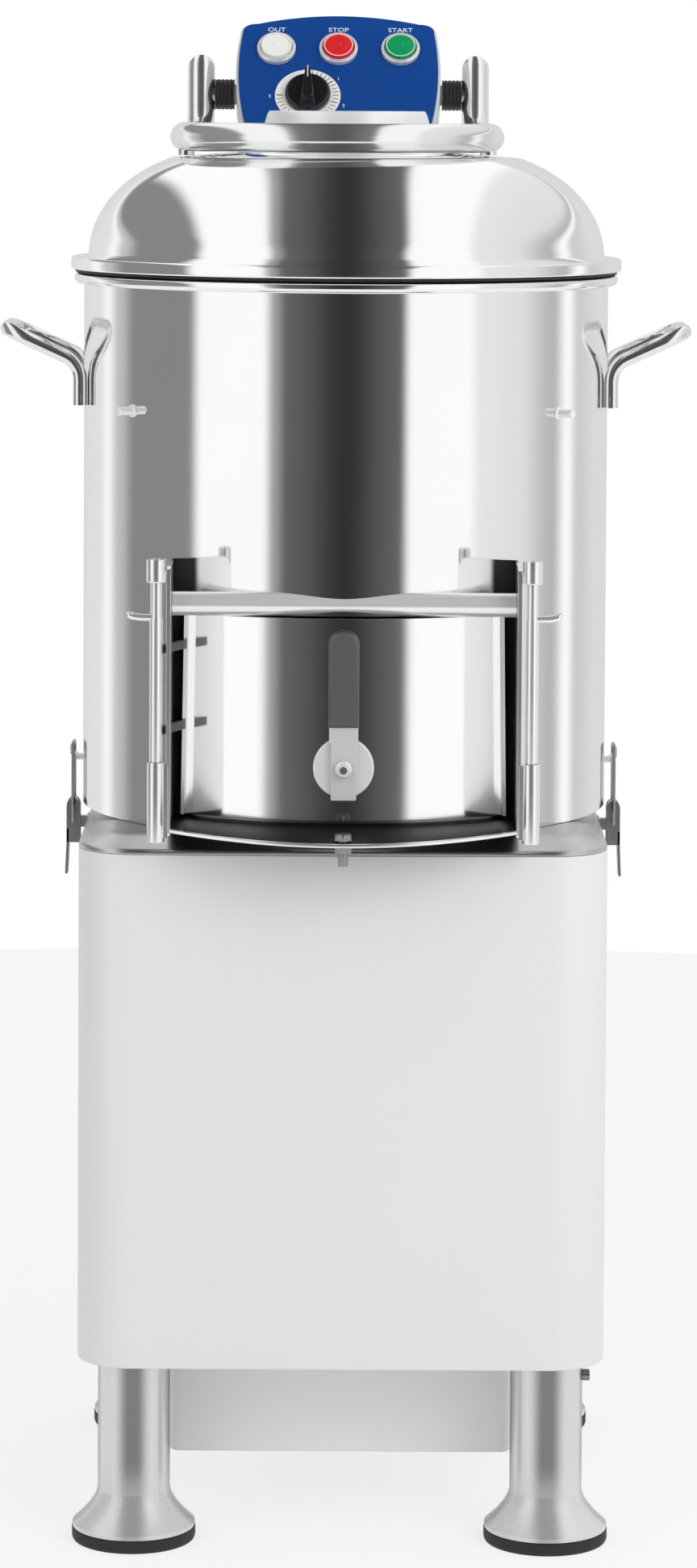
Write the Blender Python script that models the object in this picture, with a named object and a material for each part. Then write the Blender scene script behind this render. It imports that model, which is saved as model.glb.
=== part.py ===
"""Floor-standing potato peeler: a mirror-polished drum on a painted cabinet with four bell-footed legs.

Metres, +Z up, front towards -Y. The origin is on the floor, under the drum's axis.
"""
import math

import bmesh
import bpy
import numpy as np
from mathutils import Matrix, Vector

# Gaps and overruns shared by all pieces
CLEARANCE = 0.0003
RUNNING = 0.0006
OVERRUN = 0.004
WELD = 0.001
CRISP_ANGLE = math.radians(35)

# How finely round shapes are drawn
DRUM_SIDES = 48
ROUND_SIDES = 24
SMALL_SIDES = 12
WIRE_SIDES = 8
TROUGH_STEPS = 20
DOOR_STEPS = 16
BELT_STEPS = 20
RING_STEPS = 16
DOME_STEPS = 8
BEND_STEPS = 6

# Legs and feet
LEG_X = 0.145
LEG_Y = 0.147
LEG_RADIUS = 0.0254
LEG_WALL = 0.0020
BELL_RADIUS = 0.043
BELL_HEIGHT = 0.028
BELL_LIP = 0.003
PAD_RADIUS = 0.0435
PAD_HEIGHT = 0.009
PAD_CHAMFER = 0.002
SET_SCREW_RADIUS = 0.004
SET_SCREW_LENGTH = 0.006
SET_SCREW_DROP = 0.013

# Cabinet
CABINET_SETBACK = 0.005
CABINET_REAR_SETBACK = 0.003
CABINET_CORNER = 0.040
CABINET_BOTTOM = 0.130
CABINET_TOP = 0.490
CABINET_WALL = 0.0020
BASE_RECESS = 0.002
BASE_THICKNESS = 0.003
WINDOW_HALF_X = 0.135
WINDOW_BOTTOM = 0.172
WINDOW_TOP = 0.398
PANEL_LAP = 0.012
BACK_PANEL_THICKNESS = 0.0015
SHOULDER_EDGE = 0.003
SHOULDER_RISE = 0.012
SHOULDER_INSET = 0.022
SHOULDER_SHEET = 0.002

# Cover under the cabinet, round the belt drive
COVER_HALF_X = 0.122
COVER_FRONT = 0.095
COVER_REAR = 0.118
COVER_BOTTOM = 0.046
COVER_CORNER = 0.008
COVER_WALL = 0.0020

# Drum
DRUM_RADIUS = 0.190
CABINET_HALF_X = DRUM_RADIUS - CABINET_SETBACK
CABINET_HALF_Y = DRUM_RADIUS - CABINET_REAR_SETBACK
DRUM_WALL = 0.0020
DRUM_FLOOR = 0.003
DRUM_TOP = 0.887
BEAD_REACH = 0.007
BEAD_HEIGHT = 0.008
LINER_WALL = 0.003
LINER_BOTTOM = 0.524
LINER_TOP = 0.866
STUD_AZIMUTH = math.radians(52)
STUD_Z = 0.793
STUD_RADIUS = 0.003
STUD_LENGTH = 0.013

# Outlet: hole in the drum, cheeks, trough and the bar above the door
HOLE_SIDE = 0.086
HOLE_HALF = DRUM_RADIUS - HOLE_SIDE
HOLE_BOTTOM = 0.521
HOLE_TOP = 0.663
HOLE_CUT_DEPTH = 0.016
CHEEK_SIDE = 0.071
CHEEK_INNER = DRUM_RADIUS - CHEEK_SIDE
CHEEK_THICKNESS = 0.003
CHEEK_TOP = 0.697
CHEEK_REACH = 0.017
CHEEK_FRONT = DRUM_RADIUS + CHEEK_REACH
CHEEK_CORNER = 0.014
TROUGH_Z = 0.513
TROUGH_SIDE_OVERHANG = 0.020
TROUGH_SIDE_REACH = DRUM_RADIUS + TROUGH_SIDE_OVERHANG
TROUGH_OVERHANG = 0.053
TROUGH_SLOPE = 0.090
TROUGH_THICKNESS = 0.0025
BAR_RADIUS = 0.008
BAR_SINK = 0.0105
BAR_Y = DRUM_RADIUS - BAR_SINK
BAR_Z = 0.6646
PIN_SIDE = 0.061
PIN_X = DRUM_RADIUS - PIN_SIDE
PIN_STANDOFF = 0.015
PIN_Y = DRUM_RADIUS + PIN_STANDOFF
EYE_WIDTH = 0.014
EYE_HEIGHT = 0.016
SLEEVE_RADIUS = 0.006
SLEEVE_BOTTOM = 0.502
SLEEVE_TOP = 0.557
BOLT_INSET = 0.010
BOLT_HALF_FLATS = 0.0056
BOLT_HEAD = 0.0045
BOLT_RADIUS = 0.0035
BOLT_TAIL = 0.014
BOLT_NUT = 0.005

# Door and the pins at its sides
DOOR_GAP = 0.004
DOOR_THICKNESS = 0.003
DOOR_BOTTOM = 0.5155
DOOR_TOP = 0.6555
DOOR_SIDE_TOP = 0.0805
DOOR_HALF_TOP = DRUM_RADIUS - DOOR_SIDE_TOP
DOOR_SIDE_BOTTOM = 0.0785
DOOR_HALF_BOTTOM = DRUM_RADIUS - DOOR_SIDE_BOTTOM
FLANGE_REACH = 0.007
FLANGE_THICKNESS = 0.003
FLANGE_BEND_SHARE = 0.08
SEAL_STANDOFF = 0.0012
SEAL_WIDTH = 0.006
SEAL_INSET = 0.003
STRAP_HEIGHT = 0.012
STRAP_THICKNESS = 0.004
STRAP_HEIGHTS = (0.572, 0.628)
STRAP_NOTCH_SHARE = 0.7
PIN_RADIUS = 0.0045
PIN_TIP_RADIUS = 0.0035
PIN_NECK_RADIUS = 0.0025
PIN_TIP_DEPTH = 0.019
PIN_SHOULDER_Z = 0.656
PIN_HANDLE_Z = 0.6575
PIN_HANDLE_REACH = 0.020
PIN_TAPER = 0.003
PIN_TIP_SHARE = 0.6

# Door lever
LEVER_Z = 0.553
LEVER_BOSS_RADIUS = 0.021
LEVER_BOSS_THICKNESS = 0.004
LEVER_HALF = 0.00875
LEVER_SHOULDER_HALF = 0.010
LEVER_SHOULDER_Z = 0.571
LEVER_TAIL_Z = 0.531
LEVER_THICKNESS = 0.004
LEVER_STUD_RADIUS = 0.003
LEVER_NUT_HALF_FLATS = 0.0055
LEVER_NUT_HEIGHT = 0.006
GRIP_BOTTOM = 0.582
GRIP_TOP = 0.647
GRIP_HALF = 0.0105
GRIP_THICKNESS = 0.010
TANG_LENGTH = 0.040

# Side handles
HANDLE_RADIUS = 0.005
HANDLE_HALF_SPAN = 0.040
HANDLE_FOOT_Z = 0.792
HANDLE_BEND_Z = 0.822
HANDLE_BEND = 0.012
HANDLE_OVERHANG = 0.0596
HANDLE_TIP_Z = 0.8465
HANDLE_CORNER = 0.020

# Toggle latches at the sides
LATCH_STANDOFF = 0.012
LATCH_X = CABINET_HALF_X + LATCH_STANDOFF
LATCH_Z = 0.498
LATCH_THROW = 0.012
LATCH_WIRE_RADIUS = 0.0013
LATCH_WIRE_HALF = 0.009
LATCH_BEND_SHARE = 0.3
KEEPER_BOTTOM = 0.531
KEEPER_TOP = 0.5414
KEEPER_HALF = 0.007
KEEPER_LAP = 0.0025
LATCH_BLOCK_HALF = 0.0037
LATCH_BLOCK_RADIUS = 0.005
LATCH_PLATE_HALF = 0.011
LATCH_PLATE_THICKNESS = 0.002
LATCH_PLATE_BOTTOM = 0.446
LATCH_FORK_HALF = 0.0062
LATCH_FORK_WALL = 0.002
LATCH_PIVOT_RADIUS = 0.0022
LATCH_TIP_SPREAD = 0.006
LATCH_TIP_X = LATCH_X + LATCH_TIP_SPREAD
LATCH_TIP_Z = 0.447
LATCH_LEVER_THICKNESS = 0.002
LATCH_WEB_Z = 0.482

# Drive: turntable, shaft, bearing, belt and motor
TURNTABLE_GAP = 0.014
TURNTABLE_RADIUS = DRUM_RADIUS - TURNTABLE_GAP
TURNTABLE_BOTTOM = 0.511
TURNTABLE_THICKNESS = 0.005
TURNTABLE_WAVE = 0.010
TURNTABLE_WAVES = 3
HUB_RADIUS = 0.030
HUB_TOP = 0.527
HUB_DROP = 0.001
SHAFT_RADIUS = 0.0125
SHAFT_TOP = 0.518
SHAFT_BOTTOM = 0.072
SHAFT_HOLE = 0.016
SEAL_RADIUS = 0.020
SEAL_HEIGHT = 0.006
HOUSING_RADIUS = 0.042
HOUSING_FLANGE_RADIUS = 0.064
HOUSING_FLANGE = 0.009
HOUSING_LENGTH = 0.075
BEARING_RADIUS = 0.026
BEARING_HEIGHT = 0.030
BEARING_DEPTH = 0.012
PULLEY_RADIUS = 0.058
PULLEY_HUB_RADIUS = 0.022
PULLEY_HUB_DROP = 0.006
MOTOR_PULLEY_RADIUS = 0.020
PULLEY_Z = 0.089
PULLEY_HALF = 0.009
GROOVE_DEPTH = 0.008
GROOVE_HALF_TOP = 0.0058
GROOVE_HALF_BOTTOM = 0.0034
BELT_DEPTH = 0.006
MOTOR_Y = 0.088
MOTOR_RADIUS = 0.055
MOTOR_HEIGHT = 0.190
MOTOR_END_RADIUS = 0.045
MOTOR_END_HEIGHT = 0.016
MOTOR_FOOT_RADIUS = 0.060
MOTOR_FOOT_HEIGHT = 0.008
MOTOR_SHAFT_RADIUS = 0.007
MOTOR_SHAFT_TOP = 0.180

# Water in, water out, mains in
DRAIN_INSET = 0.080
DRAIN_Y = DRUM_RADIUS - DRAIN_INSET
DRAIN_X = -DRAIN_Y
DRAIN_RADIUS = 0.020
DRAIN_WALL = 0.002
DRAIN_EXIT_Z = 0.440
DRAIN_BEND = 0.036
INLET_AZIMUTH = math.radians(40)
INLET_Z = 0.845
INLET_RADIUS = 0.008
INLET_BORE = 0.0055
INLET_FLANGE_RADIUS = 0.014
INLET_FLANGE = 0.003
INLET_REACH = 0.035
GLAND_X = 0.110
GLAND_Z = 0.440
GLAND_HALF_FLATS = 0.012
GLAND_NUT = 0.007
GLAND_RADIUS = 0.010
GLAND_LENGTH = 0.018
GLAND_BORE = 0.0045

# Control head behind the lid
HEAD_OFFSET = -0.007
HINGE_STANDOFF = 0.022
HINGE_Y = DRUM_RADIUS + HINGE_STANDOFF
HINGE_Z = 1.016
POST_HALF = 0.045
POST_STANDOFF = 0.016
POST_FRONT = DRUM_RADIUS + POST_STANDOFF
POST_REAR_STANDOFF = 0.043
POST_REAR = DRUM_RADIUS + POST_REAR_STANDOFF
POST_SHEET = 0.0025
POST_FOOT_BOTTOM = 0.414
POST_GUSSET = 0.014
BOX_LEAN = math.radians(38)
BOX_LAP = 0.040
BOX_FRONT_Y = DRUM_RADIUS - BOX_LAP
BOX_BOTTOM_Z = 0.985
BOX_DEPTH = 0.0355
BOX_BOTTOM_HALF = 0.0705
BOX_WIDE_HALF = 0.0783
BOX_SHOULDER_HALF = 0.0755
BOX_ARCH_HALF = 0.0640
BOX_WIDE_V = 0.064
BOX_SHOULDER_V = 0.098
BOX_ARCH_V = 0.1085
BOX_TOP_V = 0.1165
BOX_CORNER = 0.008
PANEL_THICKNESS = 0.0025
PANEL_INSET = 0.0025
BUTTON_SPACING = 0.0475
BUTTON_V = 0.0803
BEZEL_RADIUS = 0.0148
BEZEL_HEIGHT = 0.0050
CAP_RADIUS = 0.0120
CAP_BOTTOM = 0.0032
CAP_TOP = 0.0075
CAP_EDGE = 0.0010
DIAL_U = -0.0232
DIAL_V = 0.0355
DIAL_RADIUS = 0.0250
DIAL_THICKNESS = 0.0012
KNOB_RADIUS = 0.0175
KNOB_SKIRT = 0.006
KNOB_HEIGHT = 0.018
KNOB_BAR_HALF = 0.0040
HINGE_BOSS_RADIUS = 0.008
HINGE_BOSS_HALF = 0.0795
HINGE_BOSS_LENGTH = 0.012
BUSH_RADIUS = 0.0118
HINGE_PIN_RADIUS = 0.006

# Lid and the tube bail that lifts it
LID_LAP = 0.0095
LID_RADIUS = DRUM_RADIUS + LID_LAP
LID_FLANGE = 0.009
GASKET_HEIGHT = 0.0017
GASKET_WIDTH = 0.006
LID_SHEET = 0.0020
LID_LIP_DROP = 0.006
LID_LIP_GAP = 0.003
DOME_INSET = 0.003
DOME_RADIUS = DRUM_RADIUS - DOME_INSET
DOME_HEIGHT = 0.072
DOME_START = math.radians(2)
DOME_END = math.radians(58)
DOME_FULLNESS = 0.62
NECK_BASE_RADIUS = 0.080
NECK_BASE_RISE = 0.076
NECK_WAIST_RADIUS = 0.062
NECK_WAIST_RISE = 0.088
NECK_RADIUS = 0.058
NECK_TOP = 1.004
NECK_LIP = 0.008
BAIL_RADIUS = 0.0104
BAIL_RING = 0.1107
BAIL_Z = 0.985
BAIL_ARM_HALF = 0.1054
BAIL_BEND = 0.026
BAIL_TOP = 1.0465
LUG_RADIUS = 0.006
LUG_AZIMUTH = math.radians(80)

# Places that follow from the sizes above
BASE_UNDERSIDE = CABINET_BOTTOM + BASE_RECESS
BASE_TOP = BASE_UNDERSIDE + BASE_THICKNESS
SHOULDER_Z = CABINET_TOP + SHOULDER_RISE
DRUM_BOTTOM = SHOULDER_Z + CLEARANCE
DRUM_INNER = DRUM_RADIUS - DRUM_WALL
DOOR_INNER = DRUM_RADIUS + DOOR_GAP
DOOR_OUTER = DOOR_INNER + DOOR_THICKNESS
TROUGH_REACH = DOOR_OUTER + TROUGH_OVERHANG
HANDLE_REACH = DRUM_RADIUS + HANDLE_OVERHANG
LEVER_BACK = DOOR_OUTER + CLEARANCE + LEVER_BOSS_THICKNESS + CLEARANCE
LEVER_FRONT = LEVER_BACK + LEVER_THICKNESS
FLANGE_BOTTOM = DRUM_TOP + CLEARANCE + GASKET_HEIGHT + CLEARANCE
LID_BASE = FLANGE_BOTTOM + LID_FLANGE
CHEEK_OUTER = CHEEK_INNER + CHEEK_THICKNESS
HOUSING_TOP = SHOULDER_Z - SHOULDER_SHEET - CLEARANCE
CABINET_REAR = CABINET_HALF_Y + CLEARANCE

# Axes used by several pieces
LEAN_UP = Vector((0, math.sin(BOX_LEAN), math.cos(BOX_LEAN)))
LEAN_OUT = Vector((0, -math.cos(BOX_LEAN), math.sin(BOX_LEAN)))


def clear_scene():
    """Remove every object that the file opens with."""
    for obj in list(bpy.data.objects):
        bpy.data.objects.remove(obj)


def make_material(name, color, roughness, metallic):
    """A Principled material in one plain colour."""
    material = bpy.data.materials.new(name)
    material.use_nodes = True
    shader = material.node_tree.nodes["Principled BSDF"]
    shader.inputs["Base Color"].default_value = (*color, 1)
    shader.inputs["Roughness"].default_value = roughness
    shader.inputs["Metallic"].default_value = metallic
    material.diffuse_color = (*color, 1)
    return material


def loft(name, loops, ring=False):
    """Skin over loops of equal count: capped at both ends, or joined last to first as a ring."""
    points = np.array([[tuple(point) for point in loop] for loop in loops])
    levels, count = points.shape[:2]
    faces = []
    for level in range(levels if ring else levels - 1):
        low = level * count
        high = (level + 1) % levels * count
        for step in range(count):
            after = (step + 1) % count
            faces.append((low + step, low + after, high + after, high + step))
    if not ring:
        faces.append(tuple(reversed(range(count))))
        faces.append(tuple(range((levels - 1) * count, levels * count)))
    mesh = bpy.data.meshes.new(name)
    mesh.from_pydata(points.reshape(-1, 3).tolist(), [], faces)
    shape = bmesh.new()
    shape.from_mesh(mesh)
    bmesh.ops.recalc_face_normals(shape, faces=shape.faces)
    if shape.calc_volume(signed=True) < 0:
        bmesh.ops.reverse_faces(shape, faces=shape.faces)
    shape.to_mesh(mesh)
    shape.free()
    mesh.shade_smooth()
    mesh.set_sharp_from_angle(angle=CRISP_ANGLE)
    obj = bpy.data.objects.new(name, mesh)
    bpy.context.scene.collection.objects.link(obj)
    return obj


def circle(radius, sides, z=0.0, center=(0.0, 0.0)):
    """Points of a level circle."""
    turns = [2 * math.pi * (step + 0.5) / sides for step in range(sides)]
    return [Vector((center[0] + radius * math.cos(a), center[1] + radius * math.sin(a), z)) for a in turns]


def turned(name, profile, sides, ring=False, center=(0.0, 0.0)):
    """A profile of (radius, height) turned about a vertical axis."""
    return loft(name, [circle(radius, sides, z, center) for radius, z in profile], ring)


def aim(obj, origin, direction):
    """Turn a piece made along +Z to point along a direction, and put its foot at origin."""
    turn = Vector(direction).to_track_quat("Z", "Y").to_matrix().to_4x4()
    obj.data.transform(Matrix.Translation(Vector(origin)) @ turn)
    return obj


def lean(obj, u, v):
    """Put a piece made round +Z on the leaning front of the control head, at (u, v)."""
    axes = Matrix((Vector((1, 0, 0)), LEAN_UP, LEAN_OUT)).transposed().to_4x4()
    obj.data.transform(Matrix.Translation(head_point(u, v, 0)) @ axes)
    return obj


def head_point(u, v, out):
    """A point of the control head: u to the right, v up its leaning front, out towards the user."""
    corner = Vector((HEAD_OFFSET, BOX_FRONT_Y, BOX_BOTTOM_Z))
    return corner + Vector((u, 0, 0)) + LEAN_UP * v + LEAN_OUT * out


def slab(name, low, high):
    """A box between two corners."""
    corners = [(low[0], low[1]), (high[0], low[1]), (high[0], high[1]), (low[0], high[1])]
    return loft(name, [[Vector((x, y, z)) for x, y in corners] for z in (low[2], high[2])])


def plate_yz(name, outline, x_low, x_high):
    """An outline of (y, z) points given a thickness along X."""
    return loft(name, [[Vector((x, y, z)) for y, z in outline] for x in (x_low, x_high)])


def plate_xz(name, outline, y_low, y_high):
    """An outline of (x, z) points given a thickness along Y."""
    return loft(name, [[Vector((x, y, z)) for x, z in outline] for y in (y_low, y_high)])


def round_rectangle(half_x, half_y, corner, z=0.0, steps=5, center_y=0.0):
    """Points of a rectangle with round corners."""
    points = []
    for quarter, (side_x, side_y) in enumerate(((1, 1), (-1, 1), (-1, -1), (1, -1))):
        for step in range(steps + 1):
            turn = math.pi / 2 * (quarter + step / steps)
            x = side_x * (half_x - corner) + corner * math.cos(turn)
            y = side_y * (half_y - corner) + corner * math.sin(turn)
            points.append(Vector((x, center_y + y, z)))
    return points


def hexagon(half_flats, z, sides=12):
    """A hexagon with several points on each side, so that round loops can join it."""
    points = []
    for step in range(sides):
        turn = 2 * math.pi * step / sides
        from_flat = (turn + math.pi / 6) % (math.pi / 3) - math.pi / 6
        reach = half_flats / math.cos(from_flat)
        points.append(Vector((reach * math.cos(turn), reach * math.sin(turn), z)))
    return points


def swept(name, path, radii, sides, bore=0.0):
    """A round bar or, with a bore, a pipe along a path; the section is carried without twist."""
    path = [Vector(point) for point in path]
    if not isinstance(radii, (list, tuple)):
        radii = [radii] * len(path)
    tangents = []
    for index, point in enumerate(path):
        before = path[max(index - 1, 0)]
        after = path[min(index + 1, len(path) - 1)]
        tangents.append((after - before).normalized())
    side = tangents[0].orthogonal().normalized()
    outer = []
    inner = []
    for point, tangent, radius in zip(path, tangents, radii):
        side = (side - tangent * side.dot(tangent)).normalized()
        other = tangent.cross(side)
        turns = [2 * math.pi * (step + 0.5) / sides for step in range(sides)]
        rim = [side * math.cos(a) + other * math.sin(a) for a in turns]
        outer.append([point + spoke * radius for spoke in rim])
        inner.append([point + spoke * bore for spoke in rim])
    if bore:
        return loft(name, outer + inner[::-1], ring=True)
    return loft(name, outer)


def arc(center, start, end, angle, steps):
    """Points on an arc in the plane of two spokes: centre + start*cos + end*sin."""
    center, start, end = Vector(center), Vector(start), Vector(end)
    turns = [angle * step / steps for step in range(steps + 1)]
    return [center + start * math.cos(a) + end * math.sin(a) for a in turns]


def helper(obj):
    """Keep a cutter or an added shape out of the finished model."""
    obj.hide_render = True
    obj.display_type = "WIRE"
    return obj


def combine(target, operation, others):
    """Boolean the others into or out of the target."""
    for other in others:
        modifier = target.modifiers.new(other.name, "BOOLEAN")
        modifier.operation = operation
        modifier.solver = "EXACT"
        modifier.object = helper(other)
    return target


def cut(target, *cutters):
    """Take the cutters out of the target."""
    return combine(target, "DIFFERENCE", cutters)


def join(target, *others):
    """Weld the others to the target."""
    return combine(target, "UNION", others)


def finish(obj, material):
    """Give a piece its one material."""
    obj.data.materials.append(material)
    return obj


def pivot(name, place):
    """An empty on a joint's axis."""
    empty = bpy.data.objects.new(name, None)
    empty.location = place
    bpy.context.scene.collection.objects.link(empty)
    return empty


def hang(empty, *objects):
    """Give pieces an origin on their joint's axis."""
    for obj in objects:
        obj.data.transform(Matrix.Translation(-empty.location))
        obj.parent = empty


def drum_y(radius, x):
    """How far a cylinder about the drum's axis reaches forward or back at a given x."""
    return math.sqrt(radius * radius - x * x)


def make_legs(steel, rubber):
    top = BASE_UNDERSIDE - CLEARANCE
    foot = PAD_HEIGHT + CLEARANCE
    flare = foot + BELL_HEIGHT
    waist_share = 0.35
    middle = LEG_RADIUS + (BELL_RADIUS - LEG_RADIUS) * waist_share
    outer = [(BELL_RADIUS, foot), (BELL_RADIUS, foot + BELL_LIP), (middle, foot + BELL_HEIGHT / 2)]
    outer += [(LEG_RADIUS, flare), (LEG_RADIUS, top)]
    inner = [(radius - LEG_WALL, z) for radius, z in reversed(outer)]
    pad = [(PAD_RADIUS - PAD_CHAMFER, 0), (PAD_RADIUS, PAD_CHAMFER), (PAD_RADIUS, PAD_HEIGHT)]
    places = {"front_left": (-1, -1), "front_right": (1, -1), "rear_left": (-1, 1), "rear_right": (1, 1)}
    for place, (side_x, side_y) in places.items():
        center = (side_x * LEG_X, side_y * LEG_Y)
        finish(turned("leg_" + place, outer + inner, ROUND_SIDES, True, center), steel)
        finish(turned("foot_pad_" + place, pad, ROUND_SIDES, False, center), rubber)
    screw_end = SET_SCREW_LENGTH + LEG_WALL / 2
    screw = turned("set_screw", [(SET_SCREW_RADIUS, 0), (SET_SCREW_RADIUS, screw_end)], SMALL_SIDES)
    start = (LEG_X + LEG_RADIUS - LEG_WALL / 2, -LEG_Y, CABINET_BOTTOM - SET_SCREW_DROP)
    join(bpy.data.objects["leg_front_right"], aim(screw, start, (1, 0, 0)))


def make_cabinet(paint, steel):
    inner_x = CABINET_HALF_X - CABINET_WALL
    inner_y = CABINET_HALF_Y - CABINET_WALL
    inner_corner = CABINET_CORNER - CABINET_WALL
    shell = loft(
        "cabinet_shell",
        [
            round_rectangle(CABINET_HALF_X, CABINET_HALF_Y, CABINET_CORNER, CABINET_BOTTOM),
            round_rectangle(CABINET_HALF_X, CABINET_HALF_Y, CABINET_CORNER, CABINET_TOP),
            round_rectangle(inner_x, inner_y, inner_corner, CABINET_TOP),
            round_rectangle(inner_x, inner_y, inner_corner, CABINET_BOTTOM),
        ],
        ring=True,
    )
    window = slab(
        "window_cutter",
        (-WINDOW_HALF_X, inner_y - OVERRUN, WINDOW_BOTTOM),
        (WINDOW_HALF_X, CABINET_HALF_Y + OVERRUN, WINDOW_TOP),
    )
    reach = DRAIN_RADIUS + CLEARANCE
    drain = turned("drain_exit_cutter", [(reach, 0), (reach, 2 * OVERRUN + CABINET_WALL)], ROUND_SIDES)
    aim(drain, (DRAIN_X, inner_y - OVERRUN, DRAIN_EXIT_Z), (0, 1, 0))
    base_inset = CABINET_WALL - WELD
    base = loft(
        "cabinet_base",
        [
            round_rectangle(
                CABINET_HALF_X - base_inset, CABINET_HALF_Y - base_inset, CABINET_CORNER - base_inset, z
            )
            for z in (BASE_UNDERSIDE, BASE_TOP)
        ],
    )
    holes = [(0.0, SHAFT_HOLE), (MOTOR_Y, MOTOR_SHAFT_RADIUS + SHAFT_HOLE - SHAFT_RADIUS)]
    span = (BASE_UNDERSIDE - OVERRUN, BASE_TOP + OVERRUN)
    cutters = []
    for y, radius in holes:
        hole_profile = [(radius, z) for z in span]
        cutters.append(turned("base_hole_cutter", hole_profile, ROUND_SIDES, center=(0.0, y)))
    cut(base, *cutters)
    cut(join(shell, base), window, drain)
    finish(shell, paint)

    panel = slab(
        "back_panel",
        (-WINDOW_HALF_X - PANEL_LAP, CABINET_REAR, WINDOW_BOTTOM - PANEL_LAP),
        (WINDOW_HALF_X + PANEL_LAP, CABINET_REAR + BACK_PANEL_THICKNESS, WINDOW_TOP + PANEL_LAP),
    )
    finish(panel, paint)

    seat = CABINET_TOP + CLEARANCE
    flat_x = CABINET_HALF_X - SHOULDER_INSET
    flat_y = CABINET_HALF_Y - SHOULDER_INSET
    sheet = SHOULDER_SHEET
    corner = CABINET_CORNER
    hole = SEAL_RADIUS

    def rim(radius, z):
        """Hole points that face the round rectangle's points, one to one."""
        spokes = [point.normalized() for point in round_rectangle(flat_x, flat_y, corner)]
        return [spoke * radius + Vector((0, 0, z)) for spoke in spokes]

    top = loft(
        "cabinet_top",
        [
            round_rectangle(CABINET_HALF_X, CABINET_HALF_Y, corner, seat),
            round_rectangle(CABINET_HALF_X, CABINET_HALF_Y, corner, seat + SHOULDER_EDGE),
            round_rectangle(flat_x, flat_y, corner, SHOULDER_Z),
            rim(hole, SHOULDER_Z),
            rim(hole, SHOULDER_Z - sheet),
            round_rectangle(flat_x, flat_y, corner, SHOULDER_Z - sheet),
            round_rectangle(CABINET_HALF_X - sheet, CABINET_HALF_Y - sheet, corner - sheet, seat + sheet),
            round_rectangle(CABINET_HALF_X - sheet, CABINET_HALF_Y - sheet, corner - sheet, seat),
        ],
        ring=True,
    )
    drain_top = turned(
        "drain_top_cutter",
        [(reach, CABINET_TOP - OVERRUN), (reach, SHOULDER_Z + OVERRUN)],
        ROUND_SIDES,
        center=(DRAIN_X, DRAIN_Y),
    )
    finish(cut(top, drain_top), steel)

    half_y = (COVER_FRONT + COVER_REAR) / 2
    middle = (COVER_REAR - COVER_FRONT) / 2
    wall = COVER_WALL
    outer = (COVER_HALF_X, half_y, COVER_CORNER)
    inside = (COVER_HALF_X - wall, half_y - wall, COVER_CORNER - wall)
    lip = BASE_UNDERSIDE - CLEARANCE
    cover = loft(
        "lower_cover",
        [
            round_rectangle(*outer, COVER_BOTTOM, center_y=middle),
            round_rectangle(*outer, lip, center_y=middle),
            round_rectangle(*inside, lip, center_y=middle),
            round_rectangle(*inside, COVER_BOTTOM + wall, center_y=middle),
        ],
    )
    finish(cover, paint)


def bar_cutter(name):
    """Room for the bar where it passes through the drum's wall."""
    reach = BAR_RADIUS + RUNNING
    cutter = turned(name, [(reach, -CHEEK_OUTER), (reach, CHEEK_OUTER)], ROUND_SIDES)
    return aim(cutter, (0, -BAR_Y, BAR_Z), (1, 0, 0))


def hole_cutter(name):
    """The outlet's hole, as wide as the door's seal allows."""
    near = drum_y(DRUM_INNER, HOLE_HALF) - HOLE_CUT_DEPTH
    return slab(name, (-HOLE_HALF, -DRUM_RADIUS - OVERRUN, HOLE_BOTTOM), (HOLE_HALF, -near, HOLE_TOP))


def inlet_direction():
    return Vector((math.sin(INLET_AZIMUTH), math.cos(INLET_AZIMUTH), 0))


def inlet_cutter(name):
    reach = INLET_RADIUS + CLEARANCE
    start = DRUM_INNER - LINER_WALL - 2 * OVERRUN
    cutter = turned(name, [(reach, 0), (reach, DRUM_RADIUS + OVERRUN - start)], SMALL_SIDES)
    return aim(cutter, inlet_direction() * start + Vector((0, 0, INLET_Z)), inlet_direction())


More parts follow.
